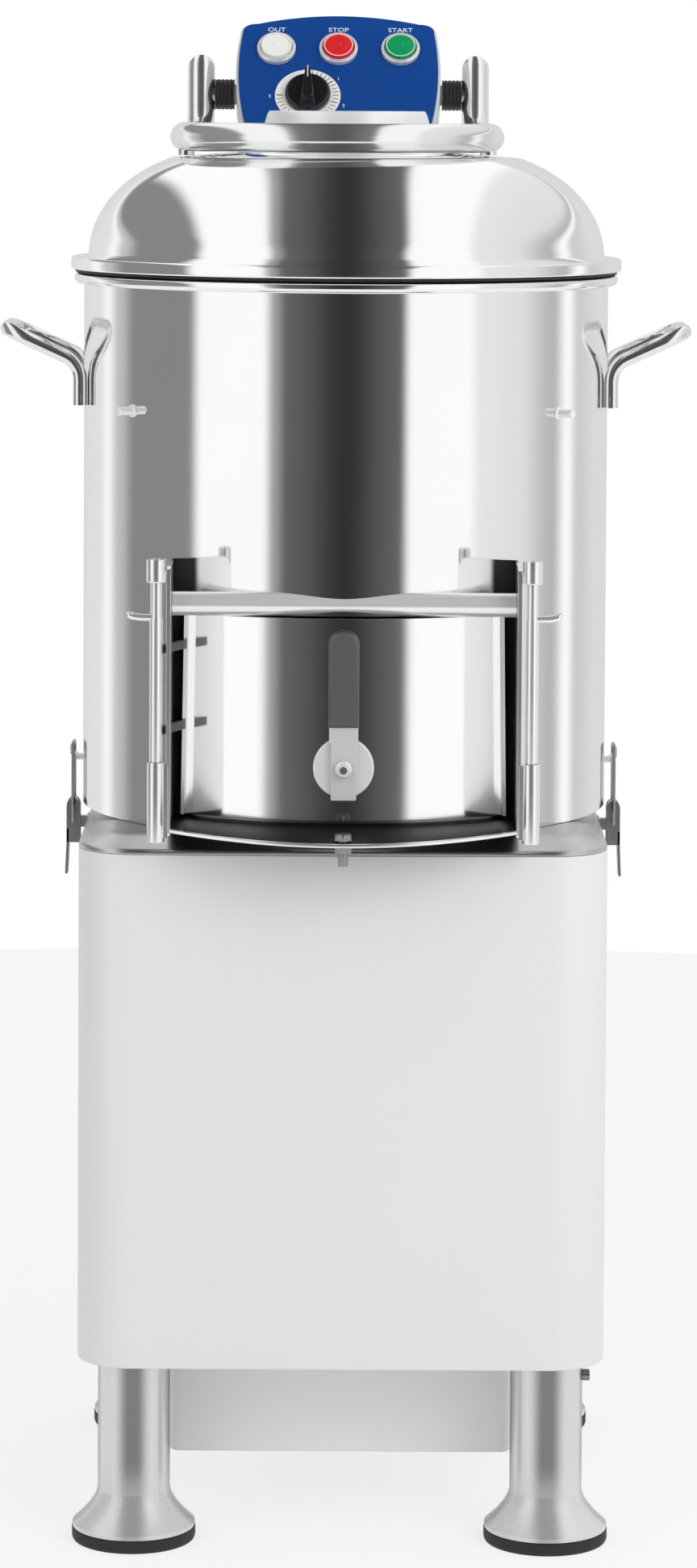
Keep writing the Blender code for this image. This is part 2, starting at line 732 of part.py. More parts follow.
def make_drum(mirror_steel, grit, steel):
    bead = DRUM_RADIUS + BEAD_REACH
    third = BEAD_HEIGHT / 3
    seal_hole = SEAL_RADIUS + CLEARANCE
    profile = [
        (seal_hole, DRUM_BOTTOM),
        (DRUM_RADIUS, DRUM_BOTTOM),
        (DRUM_RADIUS, DRUM_TOP - BEAD_HEIGHT),
        (bead - DRUM_WALL, DRUM_TOP - BEAD_HEIGHT),
        (bead, DRUM_TOP - 2 * third),
        (bead, DRUM_TOP - third),
        (bead - DRUM_WALL, DRUM_TOP),
        (DRUM_INNER, DRUM_TOP),
        (DRUM_INNER, DRUM_BOTTOM + DRUM_FLOOR),
        (seal_hole, DRUM_BOTTOM + DRUM_FLOOR),
    ]
    drum = turned("drum", profile, DRUM_SIDES, ring=True)
    added = []
    for side in (-1, 1):
        out = Vector((side * math.sin(STUD_AZIMUTH), -math.cos(STUD_AZIMUTH), 0))
        stud = turned("stud", [(STUD_RADIUS, 0), (STUD_RADIUS, STUD_LENGTH + WELD)], SMALL_SIDES)
        added.append(aim(stud, out * (DRUM_RADIUS - WELD) + Vector((0, 0, STUD_Z)), out))
        low = (side * (DRUM_RADIUS - WELD), -KEEPER_HALF, KEEPER_BOTTOM)
        high = (side * (LATCH_X + KEEPER_LAP), KEEPER_HALF, KEEPER_TOP)
        corners = sorted((low[0], high[0]))
        added.append(slab("keeper", (corners[0], low[1], low[2]), (corners[1], high[1], high[2])))
    bore = DRAIN_RADIUS - DRAIN_WALL
    drain = turned(
        "drain_port_cutter",
        [(bore, DRUM_BOTTOM - OVERRUN), (bore, DRUM_BOTTOM + DRUM_FLOOR + OVERRUN)],
        ROUND_SIDES,
        center=(DRAIN_X, DRAIN_Y),
    )
    join(drum, *added)
    outlet = hole_cutter("drum_hole_cutter")
    bar = bar_cutter("drum_bar_cutter")
    inlet = inlet_cutter("drum_inlet_cutter")
    cut(drum, outlet, bar, drain, inlet)
    finish(drum, mirror_steel)

    outside = DRUM_INNER - CLEARANCE
    inside = outside - LINER_WALL
    liner_profile = [(outside, LINER_BOTTOM), (outside, LINER_TOP)]
    liner_profile += [(inside, LINER_TOP), (inside, LINER_BOTTOM)]
    liner = turned("abrasive_liner", liner_profile, DRUM_SIDES, ring=True)
    liner_hole = slab(
        "liner_hole_cutter",
        (-HOLE_HALF, -DRUM_RADIUS - OVERRUN, LINER_BOTTOM - OVERRUN),
        (HOLE_HALF, -drum_y(inside, HOLE_HALF) + HOLE_CUT_DEPTH, HOLE_TOP),
    )
    cut(liner, liner_hole, bar_cutter("liner_bar_cutter"), inlet_cutter("liner_inlet_cutter"))
    finish(liner, grit)

    pipe_line = [(0, 0, 0), (0, 0, LINER_WALL + DRUM_WALL + INLET_REACH)]
    nipple = swept("water_inlet", pipe_line, INLET_RADIUS, SMALL_SIDES, INLET_BORE)
    foot = LINER_WALL + DRUM_WALL + 2 * CLEARANCE
    collar = [(INLET_RADIUS - WELD, foot), (INLET_FLANGE_RADIUS, foot)]
    collar += [(INLET_FLANGE_RADIUS, foot + INLET_FLANGE), (INLET_RADIUS - WELD, foot + INLET_FLANGE)]
    flange = turned("inlet_collar", collar, SMALL_SIDES, ring=True)
    start = inlet_direction() * (DRUM_INNER - LINER_WALL) + Vector((0, 0, INLET_Z))
    for shape in (nipple, flange):
        aim(shape, start, inlet_direction())
    finish(join(nipple, flange), steel)


def trough_loops(thick_top, inner_radius):
    """Cross-sections of the trough floor from the left cheek to the right one."""
    loops = []
    for step in range(TROUGH_STEPS + 1):
        share = 2 * step / TROUGH_STEPS - 1
        x = share * (CHEEK_INNER + WELD)
        back = drum_y(inner_radius, x)
        front = TROUGH_REACH - (TROUGH_REACH - TROUGH_SIDE_REACH) * share * share
        top_back = thick_top
        top_front = thick_top - (front - inner_radius) * TROUGH_SLOPE
        loop = [(-back, top_back), (-front, top_front)]
        loop += [(y, z - TROUGH_THICKNESS) for y, z in reversed(loop)]
        loops.append([Vector((x, y, z)) for y, z in loop])
    return loops


def make_outlet(steel, mirror_steel):
    chute = loft("outlet_chute", trough_loops(TROUGH_Z, DRUM_RADIUS + CLEARANCE))
    back = drum_y(DRUM_RADIUS + CLEARANCE, CHEEK_INNER) + CLEARANCE
    bottom = TROUGH_Z - TROUGH_THICKNESS - (TROUGH_SIDE_REACH - back) * TROUGH_SLOPE
    corner = arc(
        (-CHEEK_FRONT + CHEEK_CORNER, CHEEK_TOP - CHEEK_CORNER, 0),
        (-CHEEK_CORNER, 0, 0),
        (0, CHEEK_CORNER, 0),
        math.pi / 2,
        5,
    )
    outline = [(-back, bottom), (-CHEEK_FRONT, bottom)] + [(point.x, point.y) for point in corner]
    outline += [(-back, CHEEK_TOP)]
    parts = []
    cutters = []
    for side in (-1, 1):
        low, high = sorted((side * CHEEK_INNER, side * CHEEK_OUTER))
        parts.append(plate_yz("cheek", outline, low, high))
        hang_x = sorted((side * (CHEEK_OUTER - WELD), side * (PIN_X + EYE_WIDTH / 2)))
        eye_low = (hang_x[0], -PIN_Y - EYE_WIDTH / 2, CHEEK_TOP - EYE_HEIGHT)
        eye_high = (hang_x[1], -PIN_Y + EYE_WIDTH / 2, CHEEK_TOP)
        parts.append(slab("eye", eye_low, eye_high))
        center = (side * PIN_X, -PIN_Y)
        sleeve_profile = [(SLEEVE_RADIUS, SLEEVE_BOTTOM), (SLEEVE_RADIUS, SLEEVE_TOP)]
        parts.append(turned("sleeve", sleeve_profile, SMALL_SIDES, center=center))
        web_x = sorted((side * (CHEEK_OUTER - WELD), side * (PIN_X - SLEEVE_RADIUS + WELD)))
        web_half = SLEEVE_RADIUS / 2
        web_z = (bottom + WELD, SLEEVE_TOP - WELD)
        web_low = (web_x[0], -PIN_Y - web_half + WELD, web_z[0])
        parts.append(slab("web", web_low, (web_x[1], -PIN_Y + web_half, web_z[1])))
        neck = PIN_NECK_RADIUS + RUNNING
        eye_span = (CHEEK_TOP - EYE_HEIGHT - OVERRUN, CHEEK_TOP + OVERRUN)
        cutters.append(turned("eye_cutter", [(neck, z) for z in eye_span], SMALL_SIDES, center=center))
        tip = PIN_TIP_RADIUS + RUNNING
        tip_span = (SLEEVE_BOTTOM - OVERRUN, SLEEVE_TOP + OVERRUN)
        cutters.append(turned("sleeve_cutter", [(tip, z) for z in tip_span], SMALL_SIDES, center=center))
    for z in STRAP_HEIGHTS:
        low = (-CHEEK_OUTER - WELD, -CHEEK_FRONT - OVERRUN, z - RUNNING)
        notch_end = -CHEEK_FRONT + STRAP_NOTCH_SHARE * (CHEEK_FRONT - back)
        high = (-CHEEK_INNER + WELD, notch_end, z + STRAP_HEIGHT + RUNNING)
        cutters.append(slab("strap_notch_cutter", low, high))
    bolt_y = TROUGH_REACH - BOLT_INSET
    hole = BOLT_RADIUS + CLEARANCE
    hole_profile = [(hole, z) for z in (TROUGH_Z - HOLE_CUT_DEPTH, TROUGH_Z + OVERRUN)]
    cutters.append(turned("bolt_cutter", hole_profile, SMALL_SIDES, center=(0.0, -bolt_y)))
    join(chute, *parts)
    finish(cut(chute, *cutters), mirror_steel)

    reach = CHEEK_INNER - CLEARANCE
    bar = turned("crossbar", [(BAR_RADIUS, -reach), (BAR_RADIUS, reach)], ROUND_SIDES)
    finish(aim(bar, (0, -BAR_Y, BAR_Z), (1, 0, 0)), steel)

    slope_drop = (bolt_y + BOLT_HALF_FLATS - DRUM_RADIUS) * TROUGH_SLOPE
    lift = 2 * BOLT_HALF_FLATS * TROUGH_SLOPE
    seat = TROUGH_Z - slope_drop + lift + CLEARANCE
    under = TROUGH_Z - slope_drop - TROUGH_THICKNESS - CLEARANCE
    stem = [Vector((p.x, p.y, 0)).normalized() * BOLT_RADIUS for p in hexagon(BOLT_HALF_FLATS, 0)]

    def ring_at(z):
        return [point + Vector((0, 0, z)) for point in stem]

    bolt = loft(
        "trough_bolt",
        [
            ring_at(under - BOLT_TAIL),
            ring_at(under - BOLT_NUT),
            hexagon(BOLT_HALF_FLATS, under - BOLT_NUT),
            hexagon(BOLT_HALF_FLATS, under),
            ring_at(under),
            ring_at(seat),
            hexagon(BOLT_HALF_FLATS, seat),
            hexagon(BOLT_HALF_FLATS, seat + BOLT_HEAD),
        ],
    )
    bolt.data.transform(Matrix.Translation((0, -bolt_y, 0)))
    finish(bolt, steel)


def door_point(share, radius, z):
    """A point of the door: share runs from -1 at its left edge to 1 at its right one."""
    height = (z - DOOR_BOTTOM) / (DOOR_TOP - DOOR_BOTTOM)
    half = DOOR_HALF_BOTTOM + (DOOR_HALF_TOP - DOOR_HALF_BOTTOM) * height
    turn = share * math.asin(half / DOOR_INNER)
    return Vector((radius * math.sin(turn), -radius * math.cos(turn), z))


def pin_profile():
    tip = SLEEVE_TOP - PIN_TIP_DEPTH
    shoulder = SLEEVE_TOP + CLEARANCE
    return [
        (PIN_TIP_RADIUS, tip),
        (PIN_TIP_RADIUS, shoulder),
        (PIN_RADIUS, shoulder),
        (PIN_RADIUS, PIN_SHOULDER_Z),
        (PIN_NECK_RADIUS, PIN_SHOULDER_Z + PIN_TAPER),
        (PIN_NECK_RADIUS, CHEEK_TOP - CLEARANCE),
    ]


def pin_handle(side):
    """The short bar that lifts a pin, bent outwards with a round end."""
    start = side * PIN_X
    end = side * (PIN_X + PIN_HANDLE_REACH)
    tip = PIN_NECK_RADIUS * PIN_TIP_SHARE
    path = [(x, -PIN_Y, PIN_HANDLE_Z) for x in (start, end - side * PIN_NECK_RADIUS, end)]
    return swept("pin_handle", path, [PIN_NECK_RADIUS, PIN_NECK_RADIUS, tip], SMALL_SIDES)


def make_door(mirror_steel, steel, rubber, grip_plastic):
    hinge = pivot("door_hinge", (-PIN_X, -PIN_Y, DOOR_BOTTOM))
    flange_share = FLANGE_THICKNESS / DOOR_HALF_TOP
    step_share = flange_share * FLANGE_BEND_SHARE
    steps = DOOR_STEPS
    inner_shares = [(1 - flange_share - step_share) * (2 * step / steps - 1) for step in range(steps + 1)]
    stations = [(-1, FLANGE_REACH), (-1 + flange_share, FLANGE_REACH)]
    stations += [(share, 0) for share in inner_shares]
    stations += [(1 - flange_share, FLANGE_REACH), (1, FLANGE_REACH)]
    loops = []
    for share, reach in stations:
        forward = Vector((0, -reach, 0))
        inner = [door_point(share, DOOR_INNER, z) for z in (DOOR_TOP, DOOR_BOTTOM)]
        loops.append(inner + [door_point(share, DOOR_OUTER, z) + forward for z in (DOOR_BOTTOM, DOOR_TOP)])
    door = loft("door_panel", loops)
    edge = door_point(-1, DOOR_OUTER, DOOR_TOP) - Vector((0, FLANGE_REACH / 2, 0))
    rod = Vector((-PIN_X, -PIN_Y, 0))
    along = Vector((edge.x - rod.x, edge.y - rod.y, 0)).normalized()
    across = Vector((-along.y, along.x, 0)) * STRAP_THICKNESS / 2
    end = Vector((edge.x, edge.y, 0)) + along * FLANGE_REACH / 2 + Vector((FLANGE_THICKNESS / 2, 0, 0))
    added = [turned("door_pintle", pin_profile(), SMALL_SIDES, center=(-PIN_X, -PIN_Y)), pin_handle(-1)]
    for z in STRAP_HEIGHTS:
        corners = [rod - across, end - across, end + across, rod + across]
        levels = [[point + Vector((0, 0, height)) for point in corners] for height in (z, z + STRAP_HEIGHT)]
        added.append(loft("strap", levels))
    join(door, *added)
    finish(door, mirror_steel)
    hang(hinge, door, *added)

    outer_half = 1 - SEAL_INSET / DOOR_HALF_TOP
    inner_half = outer_half - SEAL_WIDTH / DOOR_HALF_TOP
    seal_loops = []
    for inside in (False, True):
        half = inner_half if inside else outer_half
        inset = SEAL_INSET + (SEAL_WIDTH if inside else 0)
        shares = [half * (2 * step / steps - 1) for step in range(steps + 1)]
        low, high = DOOR_BOTTOM + inset, DOOR_TOP - inset
        path = [(share, low) for share in shares] + [(share, high) for share in reversed(shares)]
        radii = [DRUM_RADIUS + SEAL_STANDOFF, DOOR_INNER - CLEARANCE]
        for radius in reversed(radii) if inside else radii:
            seal_loops.append([door_point(share, radius, z) for share, z in path])
    seal = finish(loft("door_seal", seal_loops, ring=True), rubber)
    hang(hinge, seal)

    turn = pivot("lever_pivot_axis", (0, -LEVER_BACK, LEVER_Z))
    boss_back = DOOR_OUTER + CLEARANCE
    boss_front = boss_back + LEVER_BOSS_THICKNESS
    nut_back = LEVER_FRONT + CLEARANCE
    nut_front = nut_back + LEVER_NUT_HEIGHT - WELD
    nut_sides = ROUND_SIDES // 6 * 6

    spokes = [point.normalized() for point in hexagon(LEVER_NUT_HALF_FLATS, 0, nut_sides)]

    def ring_at(radius, reach):
        return [spoke * radius + Vector((0, 0, reach)) for spoke in spokes]

    stud = loft(
        "lever_stud",
        [
            ring_at(LEVER_BOSS_RADIUS, boss_back),
            ring_at(LEVER_BOSS_RADIUS, boss_front - WELD),
            ring_at(LEVER_BOSS_RADIUS - WELD, boss_front),
            ring_at(LEVER_STUD_RADIUS, boss_front),
            ring_at(LEVER_STUD_RADIUS, nut_back),
            hexagon(LEVER_NUT_HALF_FLATS, nut_back, nut_sides),
            hexagon(LEVER_NUT_HALF_FLATS, nut_front, nut_sides),
            ring_at(LEVER_STUD_RADIUS, nut_front),
            ring_at(LEVER_STUD_RADIUS, nut_front + WELD),
        ],
    )
    aim(stud, (0, 0, LEVER_Z), (0, -1, 0))
    finish(stud, steel)
    hang(hinge, stud)

    tang_half = LEVER_HALF - 2 * WELD
    tang_top = GRIP_BOTTOM + TANG_LENGTH
    outline = [
        (-LEVER_HALF, LEVER_TAIL_Z),
        (LEVER_HALF, LEVER_TAIL_Z),
        (LEVER_HALF, LEVER_SHOULDER_Z),
        (LEVER_SHOULDER_HALF, LEVER_SHOULDER_Z),
        (LEVER_SHOULDER_HALF, GRIP_BOTTOM - CLEARANCE),
        (tang_half, GRIP_BOTTOM - CLEARANCE),
        (tang_half, tang_top),
        (-tang_half, tang_top),
        (-tang_half, GRIP_BOTTOM - CLEARANCE),
        (-LEVER_SHOULDER_HALF, GRIP_BOTTOM - CLEARANCE),
        (-LEVER_SHOULDER_HALF, LEVER_SHOULDER_Z),
        (-LEVER_HALF, LEVER_SHOULDER_Z),
    ]
    lever = plate_xz("door_lever", outline, -LEVER_FRONT, -LEVER_BACK)
    hole_radius = LEVER_STUD_RADIUS + RUNNING
    hole_profile = [(hole_radius, LEVER_BACK - OVERRUN), (hole_radius, LEVER_FRONT + OVERRUN)]
    hole = turned("lever_hole_cutter", hole_profile, SMALL_SIDES)
    aim(hole, (0, 0, LEVER_Z), (0, -1, 0))
    cut(lever, hole)
    finish(lever, steel)

    middle = (LEVER_BACK + LEVER_FRONT) / 2
    crown = arc((0, GRIP_TOP - GRIP_HALF, 0), (GRIP_HALF, 0, 0), (0, GRIP_HALF, 0), math.pi, 10)
    grip_outline = [(-GRIP_HALF, GRIP_BOTTOM), (GRIP_HALF, GRIP_BOTTOM)] + [(p.x, p.y) for p in crown]
    grip = plate_xz("lever_grip", grip_outline, -middle - GRIP_THICKNESS / 2, -middle + GRIP_THICKNESS / 2)
    pocket = slab(
        "grip_pocket_cutter",
        (-tang_half - CLEARANCE, -LEVER_FRONT - CLEARANCE, GRIP_BOTTOM - OVERRUN),
        (tang_half + CLEARANCE, -LEVER_BACK + CLEARANCE, tang_top + CLEARANCE),
    )
    cut(grip, pocket)
    finish(grip, grip_plastic)
    hang(turn, lever, hole, grip, pocket)
    turn.parent = hinge
    turn.location -= hinge.location

    slide = pivot("locking_pin_axis", (PIN_X, -PIN_Y, PIN_HANDLE_Z))
    pin = turned("locking_pin", pin_profile(), SMALL_SIDES, center=(PIN_X, -PIN_Y))
    handle = pin_handle(1)
    join(pin, handle)
    finish(pin, steel)
    hang(slide, pin, handle)


def make_side_handles(steel):
    foot_x = drum_y(DRUM_RADIUS, HANDLE_HALF_SPAN) + HANDLE_RADIUS + CLEARANCE
    tip_x = HANDLE_REACH - HANDLE_RADIUS
    rise = (HANDLE_TIP_Z - HANDLE_BEND_Z) / (tip_x - foot_x)
    corner_x = tip_x - HANDLE_CORNER
    foot = [(foot_x, HANDLE_HALF_SPAN, z) for z in (HANDLE_FOOT_Z, HANDLE_BEND_Z - HANDLE_BEND)]
    half = list(foot)
    bend_shares = (0.25, 0.5, 0.75, 1)
    for share in bend_shares:
        x = foot_x + HANDLE_BEND * share * share
        z = HANDLE_BEND_Z - HANDLE_BEND * (1 - share) ** 2 + rise * HANDLE_BEND * share * share
        half.append((x, HANDLE_HALF_SPAN, z))
    for turn in [math.pi / 2 * step / BEND_STEPS for step in range(BEND_STEPS + 1)]:
        x = corner_x + HANDLE_CORNER * math.sin(turn)
        y = HANDLE_HALF_SPAN - HANDLE_CORNER + HANDLE_CORNER * math.cos(turn)
        half.append((x, y, HANDLE_BEND_Z + rise * (x - foot_x)))
    path = half + [(x, -y, z) for x, y, z in reversed(half)]
    for name, side in (("left", -1), ("right", 1)):
        points = [(side * x, y, z) for x, y, z in path]
        finish(swept("side_handle_" + name, points, HANDLE_RADIUS, WIRE_SIDES), steel)


def make_latches(steel):
    for name, side in (("left", -1), ("right", 1)):
        x = side * LATCH_X
        plate_back = side * (CABINET_HALF_X + CLEARANCE)
        plate_front = plate_back + side * LATCH_PLATE_THICKNESS
        low, high = sorted((plate_back, plate_front))
        base = slab(
            "latch_base_" + name,
            (low, -LATCH_PLATE_HALF, LATCH_PLATE_BOTTOM),
            (high, LATCH_PLATE_HALF, CABINET_TOP - CLEARANCE),
        )
        neck = sorted((plate_front - side * WELD / 2, x))
        block_z = (LATCH_Z - LATCH_THROW - LATCH_BLOCK_RADIUS, LATCH_Z)
        block_low = (neck[0], -LATCH_BLOCK_HALF, block_z[0])
        block = slab("block", block_low, (neck[1], LATCH_BLOCK_HALF, CABINET_TOP - WELD))
        roll_profile = [(LATCH_BLOCK_RADIUS, y) for y in (-LATCH_BLOCK_HALF, LATCH_BLOCK_HALF)]
        roll = turned("roll", roll_profile, SMALL_SIDES)
        pin_half = LATCH_WIRE_HALF - LATCH_WIRE_RADIUS - CLEARANCE
        pin = turned("pin", [(LATCH_PIVOT_RADIUS, -pin_half), (LATCH_PIVOT_RADIUS, pin_half)], SMALL_SIDES)
        for shape in (roll, pin):
            aim(shape, (x, 0, LATCH_Z), (0, 1, 0))
        upright = slab(
            "upright",
            (x - LATCH_BLOCK_RADIUS, -LATCH_BLOCK_HALF, block_z[0]),
            (x + LATCH_BLOCK_RADIUS, LATCH_BLOCK_HALF, LATCH_Z),
        )
        finish(join(base, block, upright, roll, pin), steel)

        axis = pivot("latch_axis_" + name, (x, 0, LATCH_Z))
        crown = arc((x, LATCH_Z, 0), (LATCH_BLOCK_RADIUS, 0, 0), (0, LATCH_BLOCK_RADIUS, 0), math.pi, 8)
        foot = LATCH_WEB_Z - LATCH_THROW
        outline = [(x - LATCH_BLOCK_RADIUS, foot), (x + LATCH_BLOCK_RADIUS, foot)]
        outline += [(p.x, p.y) for p in crown]
        cheeks = []
        for way in (-1, 1):
            span = sorted((way * (LATCH_FORK_HALF - LATCH_FORK_WALL), way * LATCH_FORK_HALF))
            cheeks.append(plate_xz("fork", outline, *span))
        web_top = block_z[0] - RUNNING
        tip_x = side * LATCH_TIP_X
        front = x + side * LATCH_BLOCK_RADIUS
        web = [
            (front, web_top),
            (front - side * LATCH_LEVER_THICKNESS, web_top),
            (front - side * LATCH_LEVER_THICKNESS, foot),
            (tip_x - side * LATCH_LEVER_THICKNESS, LATCH_TIP_Z),
            (tip_x, LATCH_TIP_Z),
            (front, foot),
        ]
        lever = plate_xz("latch_lever_" + name, web, -LATCH_FORK_HALF, LATCH_FORK_HALF)
        hole_half = LATCH_FORK_HALF + OVERRUN
        hole_profile = [(LATCH_PIVOT_RADIUS + RUNNING / 2, z) for z in (-hole_half, hole_half)]
        hole = turned("fork_cutter", hole_profile, SMALL_SIDES)
        aim(hole, (x, 0, LATCH_Z), (0, 1, 0))
        finish(cut(join(lever, *cheeks), hole), steel)
        hang(axis, lever, hole, *cheeks)

        low_z = LATCH_Z - LATCH_THROW
        bar_z = KEEPER_TOP + CLEARANCE + LATCH_WIRE_RADIUS
        corner = 2 * LATCH_WIRE_RADIUS
        end_y = LATCH_FORK_HALF + CLEARANCE
        bend = corner * LATCH_BEND_SHARE
        half = [(x, end_y, low_z), (x, LATCH_WIRE_HALF - WELD / 2, low_z)]
        half += [(x, LATCH_WIRE_HALF, low_z + WELD / 2), (x, LATCH_WIRE_HALF, bar_z - corner)]
        half += [(x, LATCH_WIRE_HALF - bend, bar_z - bend), (x, LATCH_WIRE_HALF - corner, bar_z)]
        path = half + [(px, -py, pz) for px, py, pz in reversed(half)]
        wire_axis = pivot("latch_wire_axis_" + name, (x, 0, low_z))
        wire = finish(swept("latch_wire_" + name, path, LATCH_WIRE_RADIUS, WIRE_SIDES), steel)
        hang(wire_axis, wire)
        wire_axis.parent = axis
        wire_axis.location -= axis.location


def pulley_profile(radius, bore, hub_radius, hub_drop):
    """Half section of a V pulley with a hub below it."""
    low, high = PULLEY_Z - PULLEY_HALF, PULLEY_Z + PULLEY_HALF
    return [
        (bore, low - hub_drop),
        (hub_radius, low - hub_drop),
        (hub_radius, low),
        (radius, low),
        (radius, PULLEY_Z - GROOVE_HALF_TOP),
        (radius - GROOVE_DEPTH, PULLEY_Z - GROOVE_HALF_BOTTOM),
        (radius - GROOVE_DEPTH, PULLEY_Z + GROOVE_HALF_BOTTOM),
        (radius, PULLEY_Z + GROOVE_HALF_TOP),
        (radius, high),
        (bore, high),
    ]


def make_belt(rubber):
    """The belt's loop: two arcs and the straight runs between them, with a trapezoid section."""
    lean_in = math.asin((PULLEY_RADIUS - MOTOR_PULLEY_RADIUS) / MOTOR_Y)
    spokes = []
    for center_y, radius, first, last in (
        (0.0, PULLEY_RADIUS, math.pi - lean_in, 2 * math.pi + lean_in),
        (MOTOR_Y, MOTOR_PULLEY_RADIUS, -lean_in, math.pi + lean_in),
    ):
        for step in range(BELT_STEPS + 1):
            turn = first + (last - first) * step / BELT_STEPS
            spokes.append((center_y, radius, turn))
    slope = (GROOVE_HALF_TOP - GROOVE_HALF_BOTTOM) / GROOVE_DEPTH
    sections = []
    for center_y, radius, turn in spokes:
        out = Vector((math.cos(turn), math.sin(turn), 0))
        top = GROOVE_HALF_TOP - RUNNING
        foot = top - slope * BELT_DEPTH
        corners = [(0, -top), (0, top), (-BELT_DEPTH, foot), (-BELT_DEPTH, -foot)]
        base = Vector((0, center_y, PULLEY_Z))
        sections.append([base + out * (radius + depth) + Vector((0, 0, z)) for depth, z in corners])
    finish(loft("v_belt", sections, ring=True), rubber)


def make_drive(steel, cast, grit, rubber, motor_paint):
    spin = pivot("turntable_axis", (0, 0, TURNTABLE_BOTTOM))
    top = TURNTABLE_BOTTOM + TURNTABLE_THICKNESS
    bore = SHAFT_RADIUS + CLEARANCE
    seal_top = DRUM_BOTTOM + SEAL_HEIGHT
    hub_foot = max(seal_top + CLEARANCE, TURNTABLE_BOTTOM - HUB_DROP)
    flat = [
        (bore, SHAFT_TOP + CLEARANCE),
        (bore, hub_foot),
        (HUB_RADIUS, hub_foot),
        (HUB_RADIUS, TURNTABLE_BOTTOM),
        (TURNTABLE_RADIUS, TURNTABLE_BOTTOM),
        (TURNTABLE_RADIUS, top),
    ]
    loops = [circle(radius, DRUM_SIDES, z) for radius, z in flat]
    wave_shares = ((0.93, 0.35), (0.80, 0.9), (0.60, 1.0), (0.40, 0.6), (0.26, 0.2))
    for radius_share, wave_share in wave_shares:
        ring_points = circle(TURNTABLE_RADIUS * radius_share, DRUM_SIDES, top)
        for point in ring_points:
            turn = math.atan2(point.y, point.x)
            point.z += TURNTABLE_WAVE * wave_share * max(0.0, math.cos(TURNTABLE_WAVES * turn)) ** 2
        loops.append(ring_points)
    hub_shares = ((1.0, 0.15), (0.7, 0.7), (0.35, 1.0))
    for radius_share, rise_share in hub_shares:
        loops.append(circle(HUB_RADIUS * radius_share, DRUM_SIDES, top + (HUB_TOP - top) * rise_share))
    table = finish(loft("turntable", loops), grit)
    shaft = turned("main_shaft", [(SHAFT_RADIUS, SHAFT_BOTTOM), (SHAFT_RADIUS, SHAFT_TOP)], ROUND_SIDES)
    finish(shaft, steel)
    wheel = turned(
        "large_pulley",
        pulley_profile(PULLEY_RADIUS, bore, PULLEY_HUB_RADIUS, PULLEY_HUB_DROP),
        DRUM_SIDES // 2,
        ring=True,
    )
    finish(wheel, cast)
    hang(spin, table, shaft, wheel)

    motor_spin = pivot("motor_axis", (0, MOTOR_Y, PULLEY_Z))
    center = (0.0, MOTOR_Y)
    rotor_foot = PULLEY_Z - PULLEY_HALF - PULLEY_HUB_DROP
    rotor_profile = [(MOTOR_SHAFT_RADIUS, rotor_foot), (MOTOR_SHAFT_RADIUS, MOTOR_SHAFT_TOP)]
    rotor = finish(turned("motor_shaft", rotor_profile, SMALL_SIDES, center=center), steel)
    motor_bore = MOTOR_SHAFT_RADIUS + CLEARANCE
    small_hub = (MOTOR_PULLEY_RADIUS - GROOVE_DEPTH + motor_bore) / 2
    small = turned(
        "motor_pulley",
        pulley_profile(MOTOR_PULLEY_RADIUS, motor_bore, small_hub, PULLEY_HUB_DROP),
        ROUND_SIDES,
        ring=True,
        center=center,
    )
    finish(small, cast)
    hang(motor_spin, rotor, small)
    make_belt(rubber)

    foot = BASE_TOP + CLEARANCE
    body_foot = foot + MOTOR_FOOT_HEIGHT
    body_top = foot + MOTOR_HEIGHT
    room = MOTOR_SHAFT_RADIUS + RUNNING
    end_foot = body_foot + MOTOR_END_HEIGHT
    motor_profile = [
        (room, MOTOR_SHAFT_TOP + CLEARANCE),
        (room, foot),
        (MOTOR_FOOT_RADIUS, foot),
        (MOTOR_FOOT_RADIUS, body_foot),
        (MOTOR_END_RADIUS, body_foot),
        (MOTOR_RADIUS, end_foot),
        (MOTOR_RADIUS, body_top - MOTOR_END_HEIGHT),
        (MOTOR_END_RADIUS, body_top),
    ]
    finish(turned("motor_body", motor_profile, ROUND_SIDES, center=center), motor_paint)

    bearing_bore = SHAFT_RADIUS + CLEARANCE
    bearing_top = HOUSING_TOP - BEARING_DEPTH
    bearing_low = bearing_top - BEARING_HEIGHT
    pocket = BEARING_RADIUS + CLEARANCE
    neck = SHAFT_RADIUS + 2 * RUNNING
    housing_profile = [
        (neck, HOUSING_TOP - HOUSING_LENGTH),
        (HOUSING_RADIUS, HOUSING_TOP - HOUSING_LENGTH),
        (HOUSING_RADIUS, HOUSING_TOP - HOUSING_FLANGE),
        (HOUSING_FLANGE_RADIUS, HOUSING_TOP - HOUSING_FLANGE),
        (HOUSING_FLANGE_RADIUS, HOUSING_TOP),
        (pocket, HOUSING_TOP),
        (pocket, bearing_low - CLEARANCE),
        (neck, bearing_low - CLEARANCE),
    ]
    finish(turned("bearing_housing", housing_profile, ROUND_SIDES, ring=True), cast)
    bearing_profile = [(bearing_bore, bearing_low), (BEARING_RADIUS, bearing_low)]
    bearing_profile += [(BEARING_RADIUS, bearing_top), (bearing_bore, bearing_top)]
    finish(turned("main_bearing", bearing_profile, ROUND_SIDES, ring=True), steel)
    seal_profile = [(bearing_bore, DRUM_BOTTOM), (SEAL_RADIUS, DRUM_BOTTOM)]
    seal_profile += [(SEAL_RADIUS, seal_top), (bearing_bore, seal_top)]
    finish(turned("shaft_seal", seal_profile, ROUND_SIDES, ring=True), rubber)


